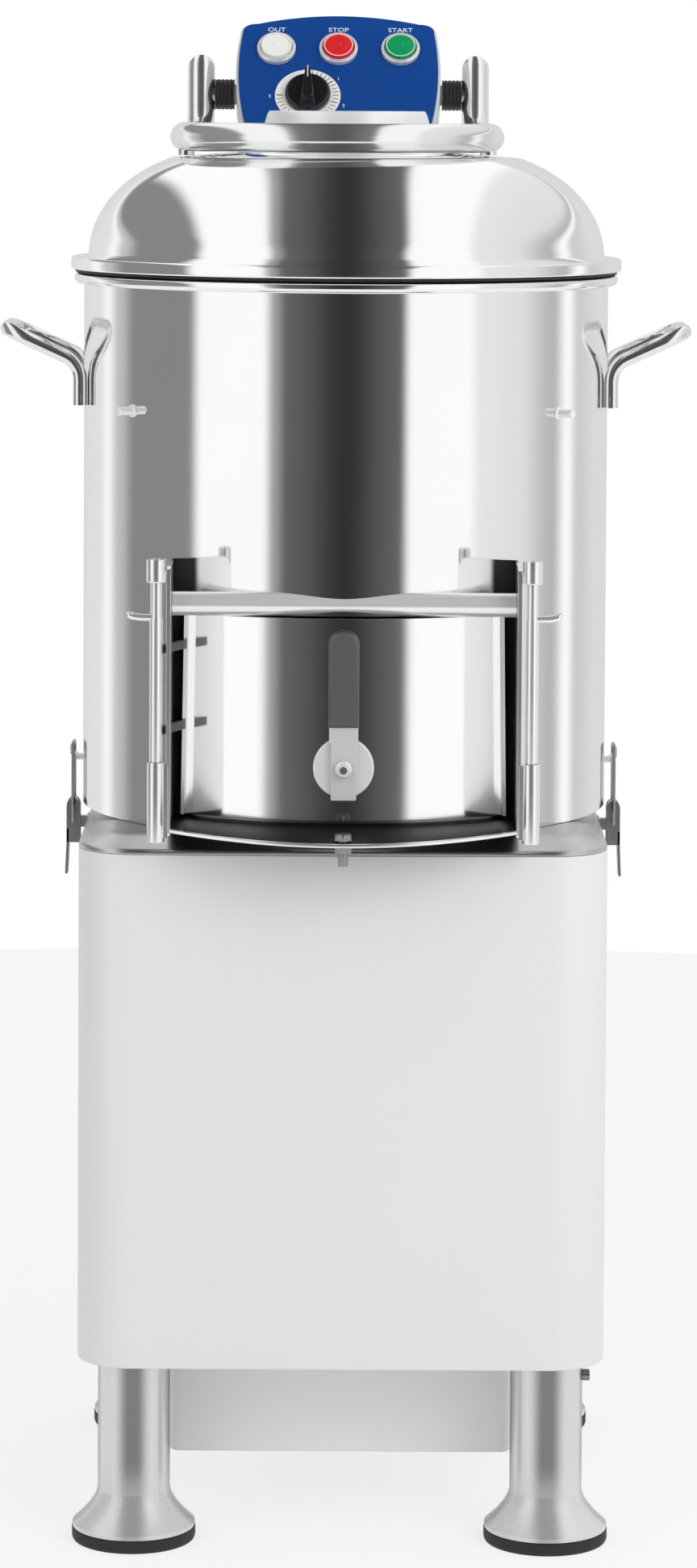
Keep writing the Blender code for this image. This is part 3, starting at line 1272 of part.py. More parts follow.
def make_services(steel, black_plastic, plumbing):
    start_z = DRUM_BOTTOM - CLEARANCE
    center_y = DRAIN_Y + DRAIN_BEND
    center_z = DRAIN_EXIT_Z + DRAIN_BEND
    path = [(DRAIN_X, DRAIN_Y, start_z), (DRAIN_X, DRAIN_Y, (start_z + center_z) / 2)]
    for step in range(BEND_STEPS + 1):
        turn = math.pi / 2 * step / BEND_STEPS
        y = center_y - DRAIN_BEND * math.cos(turn)
        path.append((DRAIN_X, y, center_z - DRAIN_BEND * math.sin(turn)))
    path.append((DRAIN_X, TROUGH_REACH, DRAIN_EXIT_Z))
    drain = swept("drain_pipe", path, DRAIN_RADIUS, SMALL_SIDES, DRAIN_RADIUS - DRAIN_WALL)
    finish(drain, plumbing)

    outline = [Vector((p.x, p.y, 0)) for p in hexagon(GLAND_HALF_FLATS, 0)]
    barrel = [point.normalized() * GLAND_RADIUS for point in outline]
    bore = [point.normalized() * GLAND_BORE for point in outline]
    levels = [(bore, 0), (outline, 0), (outline, GLAND_NUT), (barrel, GLAND_NUT)]
    levels += [(barrel, GLAND_LENGTH), (bore, GLAND_LENGTH)]
    gland = loft("cable_gland", [[p + Vector((0, 0, z)) for p in ring] for ring, z in levels], ring=True)
    finish(aim(gland, (GLAND_X, CABINET_REAR, GLAND_Z), (0, 1, 0)), black_plastic)


def head_outline(inset):
    """The control head's front, seen square on: swelling sides, round shoulders, arched top."""
    right = []
    for step in range(7):
        v = inset + (BOX_SHOULDER_V - inset) * step / 6
        low, middle, high = 0.0, BOX_WIDE_V, BOX_SHOULDER_V
        w_low = BOX_BOTTOM_HALF * (v - middle) * (v - high) / ((low - middle) * (low - high))
        w_middle = BOX_WIDE_HALF * (v - low) * (v - high) / ((middle - low) * (middle - high))
        w_high = BOX_SHOULDER_HALF * (v - low) * (v - middle) / ((high - low) * (high - middle))
        right.append((w_low + w_middle + w_high - inset, v))
    shoulder = (right[-1][0], right[-1][1])
    arch = (BOX_ARCH_HALF - inset, BOX_ARCH_V - inset)
    knee = (BOX_SHOULDER_HALF - inset, BOX_ARCH_V - inset)
    for step in range(1, 5):
        t = step / 4
        weights = ((1 - t) ** 2, 2 * t * (1 - t), t * t)
        x = weights[0] * shoulder[0] + weights[1] * knee[0] + weights[2] * arch[0]
        v = weights[0] * shoulder[1] + weights[1] * knee[1] + weights[2] * arch[1]
        right.append((x, v))
    crown = BOX_TOP_V - inset - arch[1]
    for step in range(1, 5):
        x = arch[0] * (1 - step / 4)
        right.append((x, arch[1] + crown * (1 - (x / arch[0]) ** 2)))
    left = [(-x, v) for x, v in reversed(right[:-1])]
    return right + left


def head_slab(name, inset, back, front):
    levels = [[head_point(u, v, out) for u, v in head_outline(inset)] for out in (back, front)]
    return loft(name, levels)


def make_post(paint):
    """A channel that stands on the cabinet's back and carries the control head."""
    lean_slope = math.cos(BOX_LEAN) / math.sin(BOX_LEAN)
    back_corner = head_point(0, 0, -BOX_DEPTH)

    def outline(front, z=None):
        points = [
            (-POST_HALF, front),
            (-POST_HALF + POST_SHEET, front),
            (-POST_HALF + POST_SHEET, POST_REAR - POST_SHEET),
            (POST_HALF - POST_SHEET, POST_REAR - POST_SHEET),
            (POST_HALF - POST_SHEET, front),
            (POST_HALF, front),
            (POST_HALF, POST_REAR),
            (-POST_HALF, POST_REAR),
        ]
        loop = []
        for x, y in points:
            under_head = back_corner.z + (y - back_corner.y) * lean_slope - 2 * CLEARANCE
            loop.append(Vector((HEAD_OFFSET + x, y, under_head if z is None else z)))
        return loop

    foot_top = CABINET_TOP - CLEARANCE
    post = loft(
        "control_post",
        [
            outline(CABINET_REAR, POST_FOOT_BOTTOM),
            outline(CABINET_REAR, foot_top),
            outline(POST_FRONT, foot_top + POST_GUSSET),
            outline(POST_FRONT),
        ],
    )
    finish(post, paint)


def make_head(paint, blue, black_plastic, clear, dial_white, knob_black, cap_colors):
    box = head_slab("control_box", 0.0, -BOX_DEPTH, 0)
    for side in (-1, 1):
        boss_start = HINGE_BOSS_HALF - HINGE_BOSS_LENGTH
        boss_profile = [(HINGE_BOSS_RADIUS, boss_start), (HINGE_BOSS_RADIUS, HINGE_BOSS_HALF)]
        boss = turned("hinge_boss", boss_profile, SMALL_SIDES)
        join(box, aim(boss, (HEAD_OFFSET, HINGE_Y, HINGE_Z), (side, 0, 0)))
    finish(box, paint)
    finish(head_slab("control_panel", PANEL_INSET, CLEARANCE, CLEARANCE + PANEL_THICKNESS), blue)

    for name, side in (("left", -1), ("right", 1)):
        start = HINGE_BOSS_HALF + CLEARANCE
        end = BAIL_ARM_HALF - BAIL_RADIUS - CLEARANCE
        inner = HINGE_PIN_RADIUS + RUNNING
        profile = [(inner, start), (BUSH_RADIUS, start), (BUSH_RADIUS, end), (inner, end)]
        bush = turned("hinge_bush_" + name, profile, ROUND_SIDES, ring=True)
        finish(aim(bush, (HEAD_OFFSET, HINGE_Y, HINGE_Z), (side, 0, 0)), black_plastic)

    face = CLEARANCE + PANEL_THICKNESS + CLEARANCE
    for index, (name, color) in enumerate(cap_colors):
        u = BUTTON_SPACING * (index - 1)
        gap = CAP_RADIUS + CLEARANCE
        bezel_profile = [
            (gap, face),
            (BEZEL_RADIUS, face),
            (BEZEL_RADIUS, face + BEZEL_HEIGHT - CAP_EDGE),
            (BEZEL_RADIUS - CAP_EDGE, face + BEZEL_HEIGHT),
            (gap, face + BEZEL_HEIGHT),
        ]
        finish(lean(turned("bezel_" + name, bezel_profile, SMALL_SIDES, ring=True), u, BUTTON_V), clear)
        cap_profile = [
            (CAP_RADIUS, face + CAP_BOTTOM),
            (CAP_RADIUS, face + CAP_TOP - CAP_EDGE),
            (CAP_RADIUS - CAP_EDGE, face + CAP_TOP),
        ]
        cap = finish(lean(turned("button_" + name, cap_profile, SMALL_SIDES), u, BUTTON_V), color)
        hang(pivot("button_axis_" + name, head_point(u, BUTTON_V, face)), cap)

    dial_profile = [(DIAL_RADIUS, face), (DIAL_RADIUS, face + DIAL_THICKNESS)]
    finish(lean(turned("timer_dial", dial_profile, ROUND_SIDES), DIAL_U, DIAL_V), dial_white)
    seat = face + DIAL_THICKNESS + CLEARANCE
    knob_profile = [
        (KNOB_RADIUS, seat),
        (KNOB_RADIUS, seat + KNOB_SKIRT - WELD),
        (KNOB_RADIUS - WELD, seat + KNOB_SKIRT),
    ]
    knob = turned("timer_knob", knob_profile, ROUND_SIDES)
    grip_reach = KNOB_RADIUS - 2 * WELD
    grip_low = (-KNOB_BAR_HALF, -grip_reach, seat + KNOB_SKIRT - WELD)
    grip = slab("knob_grip", grip_low, (KNOB_BAR_HALF, grip_reach, seat + KNOB_HEIGHT))
    for shape in (knob, grip):
        lean(shape, DIAL_U, DIAL_V)
    finish(join(knob, grip), knob_black)
    hang(pivot("timer_axis", head_point(DIAL_U, DIAL_V, face)), knob, grip)


def dome_profile():
    """Outer profile of the lid from its flange to the neck's mouth."""
    dome = []
    for step in range(DOME_STEPS + 1):
        turn = DOME_START + (DOME_END - DOME_START) * step / DOME_STEPS
        radius = DOME_RADIUS * math.cos(turn) ** DOME_FULLNESS
        height = DOME_HEIGHT * math.sin(turn) / math.sin(DOME_END)
        dome.append((radius, LID_BASE + height))
    neck = [
        (NECK_BASE_RADIUS + NECK_LIP, LID_BASE + NECK_BASE_RISE - WELD),
        (NECK_BASE_RADIUS, LID_BASE + NECK_BASE_RISE),
        (NECK_WAIST_RADIUS, LID_BASE + NECK_WAIST_RISE),
        (NECK_RADIUS, NECK_TOP - NECK_LIP / 2),
        (NECK_RADIUS - NECK_LIP / 4, NECK_TOP - NECK_LIP / 8),
        (NECK_RADIUS - NECK_LIP / 2, NECK_TOP),
    ]
    return dome, neck


def offset_inward(points, distance):
    """The same profile moved inwards by a sheet's thickness, along each point's normal."""
    moved = []
    for index, point in enumerate(points):
        before = Vector(points[max(index - 1, 0)])
        after = Vector(points[min(index + 1, len(points) - 1)])
        along = (after - before).normalized()
        inward = Vector((-along.y, along.x))
        moved.append((point[0] + inward.x * distance, point[1] + inward.y * distance))
    return moved


def make_lid(mirror_steel, steel, rubber):
    axis = pivot("lid_hinge", (HEAD_OFFSET, HINGE_Y, HINGE_Z))
    dome, neck = dome_profile()
    flange = [
        (LID_RADIUS - WELD, FLANGE_BOTTOM),
        (LID_RADIUS, FLANGE_BOTTOM + WELD),
        (LID_RADIUS, LID_BASE - WELD),
        (LID_RADIUS - WELD, LID_BASE),
    ]
    outer = flange + dome + neck
    inner = offset_inward(dome[::2] + neck, LID_SHEET)
    lip_outer = DRUM_INNER - LID_LIP_GAP
    lip_inner = lip_outer - LID_SHEET
    inner = [point for point in inner if point[0] < lip_inner - WELD / 2]
    lip = [(lip_inner, FLANGE_BOTTOM - LID_LIP_DROP), (lip_outer, FLANGE_BOTTOM - LID_LIP_DROP)]
    lip += [(lip_outer, FLANGE_BOTTOM)]
    profile = outer + inner[::-1] + [(lip_inner, LID_BASE)] + lip
    lid = finish(turned("lid_dome", profile, DRUM_SIDES, ring=True), mirror_steel)

    low = DRUM_TOP + CLEARANCE
    high = low + GASKET_HEIGHT
    mid = (DRUM_INNER + DRUM_RADIUS + BEAD_REACH) / 2 + WELD
    near, far = mid - GASKET_WIDTH / 2, mid + GASKET_WIDTH / 2
    gasket_profile = [(near, low), (far, low), (far, high), (near, high)]
    gasket = finish(turned("lid_gasket", gasket_profile, DRUM_SIDES, ring=True), rubber)

    start_y = HINGE_Y - BAIL_BEND
    path = []
    for step in range(RING_STEPS // 2 + 1):
        turn = math.pi / 2 * (1 - step / (RING_STEPS // 2))
        path.append((BAIL_RING * math.cos(turn), -BAIL_RING * math.sin(turn), BAIL_Z))
    half = path + [(BAIL_ARM_HALF, start_y, BAIL_Z)]
    for step in range(1, BEND_STEPS + 1):
        turn = math.pi / 2 * step / BEND_STEPS
        y = start_y + BAIL_BEND * math.sin(turn)
        half.append((BAIL_ARM_HALF, y, BAIL_Z + BAIL_BEND * (1 - math.cos(turn))))
    tip_low = BAIL_TOP - BAIL_RADIUS
    radii = [BAIL_RADIUS] * len(half)
    tip_shares = (0, 0.35, 0.65, 0.9)
    for turn in [math.pi / 2 * share for share in tip_shares]:
        half.append((BAIL_ARM_HALF, HINGE_Y, tip_low + BAIL_RADIUS * math.sin(turn)))
        radii.append(BAIL_RADIUS * math.cos(turn))
    left = [(-x, y, z) for x, y, z in reversed(half[1:])]
    full = [(HEAD_OFFSET + x, y, z) for x, y, z in left + half]
    bail = swept("lid_bail", full, radii[:0:-1] + radii, SMALL_SIDES)
    added = []
    for turn in (-math.pi / 2, -math.pi / 2 - LUG_AZIMUTH, -math.pi / 2 + LUG_AZIMUTH):
        center = (HEAD_OFFSET + BAIL_RING * math.cos(turn), BAIL_RING * math.sin(turn))
        lug_low = lid_height_at(math.hypot(*center) - LUG_RADIUS, dome, neck) + CLEARANCE
        lug_profile = [(LUG_RADIUS, lug_low), (LUG_RADIUS, BAIL_Z - BAIL_RADIUS / 2)]
        added.append(turned("bail_lug", lug_profile, SMALL_SIDES, center=center))
    for side in (-1, 1):
        pin_start = HINGE_BOSS_HALF + CLEARANCE
        span = sorted((side * pin_start, side * BAIL_ARM_HALF))
        pin = turned("hinge_pin", [(HINGE_PIN_RADIUS, z) for z in span], SMALL_SIDES)
        added.append(aim(pin, (HEAD_OFFSET, HINGE_Y, HINGE_Z), (1, 0, 0)))
    finish(join(bail, *added), steel)
    hang(axis, lid, gasket, bail, *added)


def lid_height_at(radius, dome, neck):
    """Height of the lid's outer surface at a radius, read off its profile."""
    profile = (dome + neck)[::-1]
    return float(np.interp(radius, [point[0] for point in profile], [point[1] for point in profile]))


def main():
    clear_scene()
    mirror_steel = make_material("polished_steel", (0.78, 0.78, 0.78), 0.08, 1.0)
    satin_steel = make_material("satin_steel", (0.62, 0.62, 0.61), 0.3, 1.0)
    cabinet_paint = make_material("cabinet_paint", (0.78, 0.78, 0.79), 0.4, 0.0)
    cast_iron = make_material("cast_iron", (0.16, 0.16, 0.17), 0.6, 0.8)
    motor_paint = make_material("motor_paint", (0.13, 0.16, 0.19), 0.5, 0.2)
    abrasive = make_material("abrasive_grit", (0.09, 0.09, 0.09), 0.95, 0.0)
    rubber = make_material("black_rubber", (0.02, 0.02, 0.02), 0.7, 0.0)
    black_plastic = make_material("black_plastic", (0.03, 0.03, 0.03), 0.45, 0.0)
    grip_plastic = make_material("grip_plastic", (0.12, 0.12, 0.125), 0.5, 0.0)
    plumbing = make_material("grey_plumbing", (0.35, 0.36, 0.37), 0.5, 0.0)
    blue = make_material("panel_blue", (0.01, 0.08, 0.33), 0.35, 0.0)
    clear = make_material("bezel_chrome", (0.75, 0.76, 0.77), 0.15, 0.9)
    dial_white = make_material("dial_white", (0.85, 0.86, 0.87), 0.4, 0.0)
    knob_black = make_material("knob_black", (0.015, 0.015, 0.015), 0.3, 0.0)
    cap_colors = (
        ("out", make_material("cap_white", (0.85, 0.85, 0.85), 0.3, 0.0)),
        ("stop", make_material("cap_red", (0.75, 0.02, 0.03), 0.3, 0.0)),
        ("start", make_material("cap_green", (0.0, 0.4, 0.15), 0.3, 0.0)),
    )
    make_legs(satin_steel, rubber)
    make_cabinet(cabinet_paint, satin_steel)
    make_drum(mirror_steel, abrasive, satin_steel)
    make_outlet(satin_steel, mirror_steel)
    make_door(mirror_steel, satin_steel, rubber, grip_plastic)
    make_side_handles(satin_steel)
    make_latches(satin_steel)
    make_drive(satin_steel, cast_iron, abrasive, rubber, motor_paint)
    make_services(satin_steel, black_plastic, plumbing)
    make_post(cabinet_paint)
    make_head(cabinet_paint, blue, black_plastic, clear, dial_white, knob_black, cap_colors)
    make_lid(mirror_steel, satin_steel, rubber)


main()
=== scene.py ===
import math

import bmesh
import bpy
import numpy as np
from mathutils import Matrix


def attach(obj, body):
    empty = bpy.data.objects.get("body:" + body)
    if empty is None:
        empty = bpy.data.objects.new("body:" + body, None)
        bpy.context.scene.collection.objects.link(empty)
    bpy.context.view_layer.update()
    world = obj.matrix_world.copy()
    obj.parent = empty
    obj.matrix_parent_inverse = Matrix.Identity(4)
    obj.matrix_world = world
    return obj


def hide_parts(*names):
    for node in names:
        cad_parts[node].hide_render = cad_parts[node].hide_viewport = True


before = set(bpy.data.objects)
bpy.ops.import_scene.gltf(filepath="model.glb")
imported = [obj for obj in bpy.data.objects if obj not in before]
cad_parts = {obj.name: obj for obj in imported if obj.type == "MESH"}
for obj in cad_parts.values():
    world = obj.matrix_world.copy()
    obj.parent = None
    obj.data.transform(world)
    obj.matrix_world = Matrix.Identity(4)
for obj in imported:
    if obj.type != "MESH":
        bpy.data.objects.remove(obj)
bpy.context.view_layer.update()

# Camera and studio. The camera stands 3.4 m in front of the machine at the height of its control head.
# The walls are a ring of tall soft boxes and darker screens, which only polished metal shows.
# Two lamps and an even sky light the rest, and the floor is a pale sheet that keeps the shadow.
IMAGE_HEIGHT = 1943
EYE_DISTANCE = 3.43
EYE_HEIGHT = 1.008
EYE_SIDE = 0.0009
PITCH = math.radians(3)
ROLL = math.radians(-0.32)
FOCAL_PIXELS = 5855
HORIZON_ROW = 130.7
SENSOR = 36


def linked(name, data):
    """A new object with this data, linked to the scene."""
    made = bpy.data.objects.new(name, data)
    bpy.context.scene.collection.objects.link(made)
    return made


camera = linked("camera", bpy.data.cameras.new("camera"))
camera.location = (EYE_SIDE, -EYE_DISTANCE, EYE_HEIGHT)
camera.rotation_euler = (math.pi / 2 - PITCH, ROLL, 0)
camera.data.sensor_width = SENSOR
camera.data.lens = FOCAL_PIXELS / IMAGE_HEIGHT * SENSOR
axis_row = HORIZON_ROW + FOCAL_PIXELS * math.tan(PITCH)
camera.data.shift_y = (axis_row - IMAGE_HEIGHT / 2) / IMAGE_HEIGHT
camera.data.clip_end = 100
bpy.context.scene.camera = camera
bpy.context.scene.view_settings.view_transform = "Standard"


class Wire:
    """A shader socket that takes Python's operators. Each adds the Math node that it names."""

    def __init__(self, tree, socket=None):
        self.tree = tree
        self.socket = socket

    def add(self, kind, settings=None, inputs=None, output=0):
        """A new node: settings, such as a ramp's stops, come first, then its sockets' values or links."""
        node = self.tree.nodes.new(kind)
        for key, value in (settings or {}).items():
            if key == "stops":
                self.set_stops(node.color_ramp, value)
            else:
                setattr(node, key, value)
        for key, value in (inputs or {}).items():
            self.join(value, node.inputs[key])
        return Wire(self.tree, node.outputs[output] if node.outputs else None)

    def set_stops(self, ramp, stops):
        ramp.interpolation = "EASE"
        while len(ramp.elements) < len(stops):
            ramp.elements.new(1)
        for element, (place, level) in zip(ramp.elements, stops):
            element.position = place
            element.color = (*level, 1) if isinstance(level, tuple) else (level, level, level, 1)

    def join(self, value, socket):
        if isinstance(value, Wire):
            self.tree.links.new(value.socket, socket)
        else:
            socket.default_value = value

    def math(self, operation, first, second=None):
        inputs = {0: first} if second is None else {0: first, 1: second}
        return self.add("ShaderNodeMath", {"operation": operation}, inputs)

    def __add__(self, other):
        return self.math("ADD", self, other)

    def __radd__(self, other):
        return self.math("ADD", other, self)

    def __sub__(self, other):
        return self.math("SUBTRACT", self, other)

    def __rsub__(self, other):
        return self.math("SUBTRACT", other, self)

    def __mul__(self, other):
        return self.math("MULTIPLY", self, other)

    def __truediv__(self, other):
        return self.math("DIVIDE", self, other)

    def between(self, low, high):
        """0 below low, 1 above high, and a smooth step from one to the other."""
        inputs = {"Value": self, "From Min": low, "From Max": high}
        return self.add("ShaderNodeMapRange", {"interpolation_type": "SMOOTHSTEP"}, inputs)

    def axes(self, output=3):
        """The x, y and z of a texture coordinate: the object's own, or for output 0 the world's direction."""
        place = self.add("ShaderNodeTexCoord", output=output)
        return [self.add("ShaderNodeSeparateXYZ", inputs={0: place}, output=i) for i in range(3)]

    def finish(self, depth=0.0, **wires):
        """Wires joined to the Principled shader's sockets. A Height becomes a bump of a depth in metres."""
        if "Height" in wires:
            inputs = {"Height": wires.pop("Height"), "Distance": depth, "Strength": 1}
            wires["Normal"] = self.add("ShaderNodeBump", inputs=inputs)
        for key, value in wires.items():
            self.join(value, self.tree.nodes["Principled BSDF"].inputs[key.replace("_", " ")])


def blended(share, first, second):
    """Two colours mixed by a share."""
    return share.add("ShaderNodeMix", {"data_type": "RGBA"}, {0: share, 6: first, 7: second}, 2)


# The studio's wall: its brightness by bearing, in turns from straight behind the machine, round by its left.
# Two bright panels stand either side of a dark gap at the camera, a dark cloth hangs at the left, and a
# narrow bright panel ends each side. Behind the machine the wall is an even grey.
WALL_STOPS = [
    (0.00, 0.70), (0.12, 0.80), (0.145, 1.00), (0.175, 0.55), (0.21, 0.25), (0.30, 0.25), (0.32, 1.05),
    (0.40, 1.05), (0.415, 0.35), (0.43, 0.12), (0.50, 0.03), (0.565, 0.12), (0.58, 1.05), (0.65, 1.05),
    (0.67, 0.85), (0.72, 0.80), (0.785, 0.50), (0.815, 1.05), (0.84, 0.65), (0.90, 0.75), (1.00, 0.70),
]
# A low ray meets the wall at its own bearing. A steep one, such as the dome sends up, keeps to the camera's
# side of the wall, so the panels there run on over the ceiling.
CEILING_FROM, CEILING_FULL = 0.15, 0.45
CEILING_REACH, CEILING_BACK, CEILING_ASIDE = 0.6, 0.5, 0.5
SKY, SKY_TO_RIGHT = 0.75, 0.13
world = bpy.data.worlds.new("studio")
world.use_nodes = True
world.node_tree.nodes.clear()
start = Wire(world.node_tree)
axes = start.axes(0)
high = axes[2].between(CEILING_FROM, CEILING_FULL)
over = CEILING_REACH - axes[1] * CEILING_BACK - axes[0] * axes[0] * CEILING_ASIDE
bearing = 0.5 + start.math("ARCTAN2", axes[0], over * high - axes[1] * (1 - high)) / math.tau
wall = start.add("ShaderNodeValToRGB", {"stops": WALL_STOPS}, {0: bearing})
plain = SKY + axes[0] * SKY_TO_RIGHT
even = start.add("ShaderNodeCombineColor", inputs={0: plain, 1: plain, 2: plain})
glossy = start.add("ShaderNodeLightPath", output=3)
seen = start.add("ShaderNodeLightPath", output=0)
shown = blended(seen, blended(glossy, even, wall), (1, 1, 1, 1))
background = start.add("ShaderNodeBackground", inputs={0: shown})
start.add("ShaderNodeOutputWorld", inputs={0: background})
bpy.context.scene.world = world

LAMPS_AIM = (0, 0, 0.5)
for name, place, side, power in (
    ("key_lamp", (1.25, -1.6, 1.5), 1.0, 12),
    ("fill_lamp", (-2.0, -2.2, 1.6), 1.5, 9),
):
    lamp = linked(name, bpy.data.lights.new(name, "AREA"))
    lamp.location = place
    x, y, z = np.array(place) - LAMPS_AIM
    lamp.rotation_euler = (math.atan2(math.hypot(x, y), z), 0, math.atan2(y, x) + math.pi / 2)
    lamp.data.size = side
    lamp.data.energy = power
    lamp.visible_glossy = False


def material_of(name, **constants):
    """A Principled material with even values set on its shader's own sockets. Gives it and a first wire."""
    material = bpy.data.materials.new(name)
    material.use_nodes = True
    shader = material.node_tree.nodes["Principled BSDF"]
    for key, value in constants.items():
        shader.inputs[key.replace("_", " ")].default_value = value
    return material, Wire(material.node_tree)


def full_turn(steps):
    """Even steps round a circle, without the last, which is the first again."""
    return np.linspace(0, math.tau, steps, endpoint=False)


def polar(radius, turn, center=(0, 0)):
    """Flat points at a radius and a turn about a center."""
    return np.stack([center[0] + radius * np.cos(turn), center[1] + radius * np.sin(turn)], -1)


def lifted(flat, z):
    """Flat points with a third coordinate, one for all of them or one for each."""
    return np.concatenate([flat, np.broadcast_to(z, flat.shape[:-1])[..., None]], -1)


FLOOR_RADIUS = 2.2
FLOOR_LIT = 0.74
floor_finish, wire = material_of("floor_paper", Base_Color=(0.9, 0.9, 0.9, 1), Roughness=0.9)
paper = Wire(wire.tree, wire.tree.nodes["Principled BSDF"].outputs[0])
glow = wire.add("ShaderNodeEmission", inputs={0: (1, 1, 1, 1), 1: 1})
seen = wire.add("ShaderNodeLightPath", output=0)
glossy = wire.add("ShaderNodeLightPath", output=3)
share = wire.math("MAXIMUM", seen, glossy) * FLOOR_LIT
lit = wire.add("ShaderNodeMixShader", inputs={0: share, 1: paper, 2: glow})
wire.join(lit, wire.tree.nodes["Material Output"].inputs[0])
floor_points = lifted(polar(FLOOR_RADIUS, full_turn(96)), 0)
floor_mesh = bpy.data.meshes.new("floor")
floor_mesh.from_pydata(floor_points.tolist(), [], [list(range(len(floor_points)))])
floor_mesh.materials.append(floor_finish)
floor = linked("floor", floor_mesh)

# Legs and feet. Each leg is a length of brushed stainless tube, drawn out into a bell at its foot.
# A black rubber pad is pressed into the bell, and the front right leg keeps a small set screw near its top.
MERGE, CRISP = 0.000002, math.radians(35)
SIDES = (("left", -1), ("right", 1))
LEG_X, LEG_Y, LEG_TOP = 0.145, 0.147, 0.1317
LEG_RADIUS = 0.0254
BELL_RADIUS, BELL_LOW, BELL_HIGH = 0.043, 0.0123, 0.0373
SET_SCREW_Z = 0.117


def turned(profile, center=(0, 0), sides=96, ring=False):
    """Profile (radius, z) turned about a vertical axis: each point goes to (cx + r cos a, cy + r sin a, z).
    Open ends are closed with a flat face, and a ring joins its last profile point to its first."""
    profile = np.asarray(profile, float)
    return skinned(lifted(polar(profile[:, :1], full_turn(sides), center), profile[:, 1:]), ring)


def skinned(loops, ring=False):
    """Faces over loops[i, j], point j of loop i: quads between neighbours, each loop closed on itself.
    The end loops get flat caps, or as a ring the last loop is joined to the first."""
    rows, columns = loops.shape[:2]
    low, along = np.meshgrid(np.arange(rows if ring else rows - 1), np.arange(columns), indexing="ij")
    high, after = (low + 1) % rows, (along + 1) % columns
    corners = [low * columns + along, low * columns + after, high * columns + after, high * columns + along]
    faces = np.stack(corners, 2).reshape(-1, 4).tolist()
    if not ring:
        faces += [list(range(columns))[::-1], list(range((rows - 1) * columns, rows * columns))]
    return loops.reshape(-1, 3), faces


def standing(shape, origin, out):
    """A shape made about the vertical axis, laid so that its axis points out and its y points up."""
    out, up = np.asarray(out, float), np.array((0.0, 0.0, 1.0))
    out = out / np.linalg.norm(out)
    up = up - out * (up @ out)
    up = up / np.linalg.norm(up)
    axes = np.array([np.cross(up, out), up, out])
    return shape[0] @ axes + np.asarray(origin, float), shape[1]


def lathe(profile, origin, out, sides=24, ring=False):
    """A turned shape with its axis through origin, pointing out."""
    return standing(turned(profile, sides=sides, ring=ring), origin, out)


def eased(t, first, corner, last):
    """A quadratic curve from first to last that heads for corner, at each t from 0 to 1."""
    return (1 - t) ** 2 * first + 2 * t * (1 - t) * corner + t ** 2 * last


def rounded(corners, radius, steps=5, closed=False):
    """A line of straight runs with each corner eased by a quadratic curve that starts radius before it."""
    corners = np.asarray(corners, float)
    radius = np.broadcast_to(radius, len(corners))
    before, after = np.roll(corners, 1, 0), np.roll(corners, -1, 0)
    points = []
    for index, corner in enumerate(corners):
        if radius[index] == 0 or not closed and index in (0, len(corners) - 1):
            points.append(corner[None])
            continue
        runs = before[index] - corner, after[index] - corner
        first, last = (corner + run * min(radius[index] / np.linalg.norm(run), 0.5) for run in runs)
        points.append(eased(np.linspace(0, 1, steps + 1)[:, None], first, corner, last))
    return np.concatenate(points)


def piece(name, shapes, finish, slot, *nodes, body="root", bevel=0.0):
    """One finished piece of one or more shapes: doubles merged, faces turned outwards, crisp edges kept, and
    a small bevel where asked. It wears its finish, rides on its body and stands for its CAD node."""
    points, faces, count = [], [], 0
    for shape_points, shape_faces in shapes:
        points.append(shape_points)
        faces += [[index + count for index in face] for face in shape_faces]
        count += len(shape_points)
    mesh = bpy.data.meshes.new(name)
    mesh.from_pydata(np.concatenate(points).tolist(), [], faces)
    work = bmesh.new()
    work.from_mesh(mesh)
    bmesh.ops.remove_doubles(work, verts=work.verts, dist=MERGE)
    bmesh.ops.recalc_face_normals(work, faces=work.faces)
    work.to_mesh(mesh)
    work.free()
    mesh.shade_smooth()
    mesh.set_sharp_from_angle(angle=CRISP)
    mesh.materials.append(finish)
    made = linked(name, mesh)
    if bevel:
        edge = made.modifiers.new("edge", "BEVEL")
        edge.width = bevel
        edge.segments = 2
        edge.limit_method = "ANGLE"
        edge.angle_limit = math.radians(40)
        edge.harden_normals = True
    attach(made, body)
    if nodes:
        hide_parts(*nodes)


def streaks(wire, scale, stretch=(1, 1, 1)):
    """Noise drawn out along one axis of the object, as a brush or a polishing wheel leaves it."""
    place = wire.add("ShaderNodeTexCoord", output=3)
    mapped = wire.add("ShaderNodeMapping", inputs={0: place, "Scale": stretch})
    return wire.add("ShaderNodeTexNoise", inputs={"Vector": mapped, "Scale": scale, "Detail": 3})


def brushed_steel(name, base, rough, spread, stretch=(1, 1, 1), depth=0.000004, metal=1):
    """Stainless steel with grain along one way: base is its tint, rough its gloss and spread how that varies.
    A blasted or satin face has less metal, because it scatters light as paint does."""
    material, wire = material_of(name, Metallic=metal)
    grain, cloud = streaks(wire, 900, stretch), streaks(wire, 7)
    tint = blended(cloud, (base * 0.96, base * 0.96, base * 0.965, 1), (base, base, base, 1))
    gloss = rough + (grain - 0.5) * spread + (cloud - 0.5) * 0.06
    wire.finish(depth, Base_Color=tint, Roughness=gloss, Height=grain)
    return material


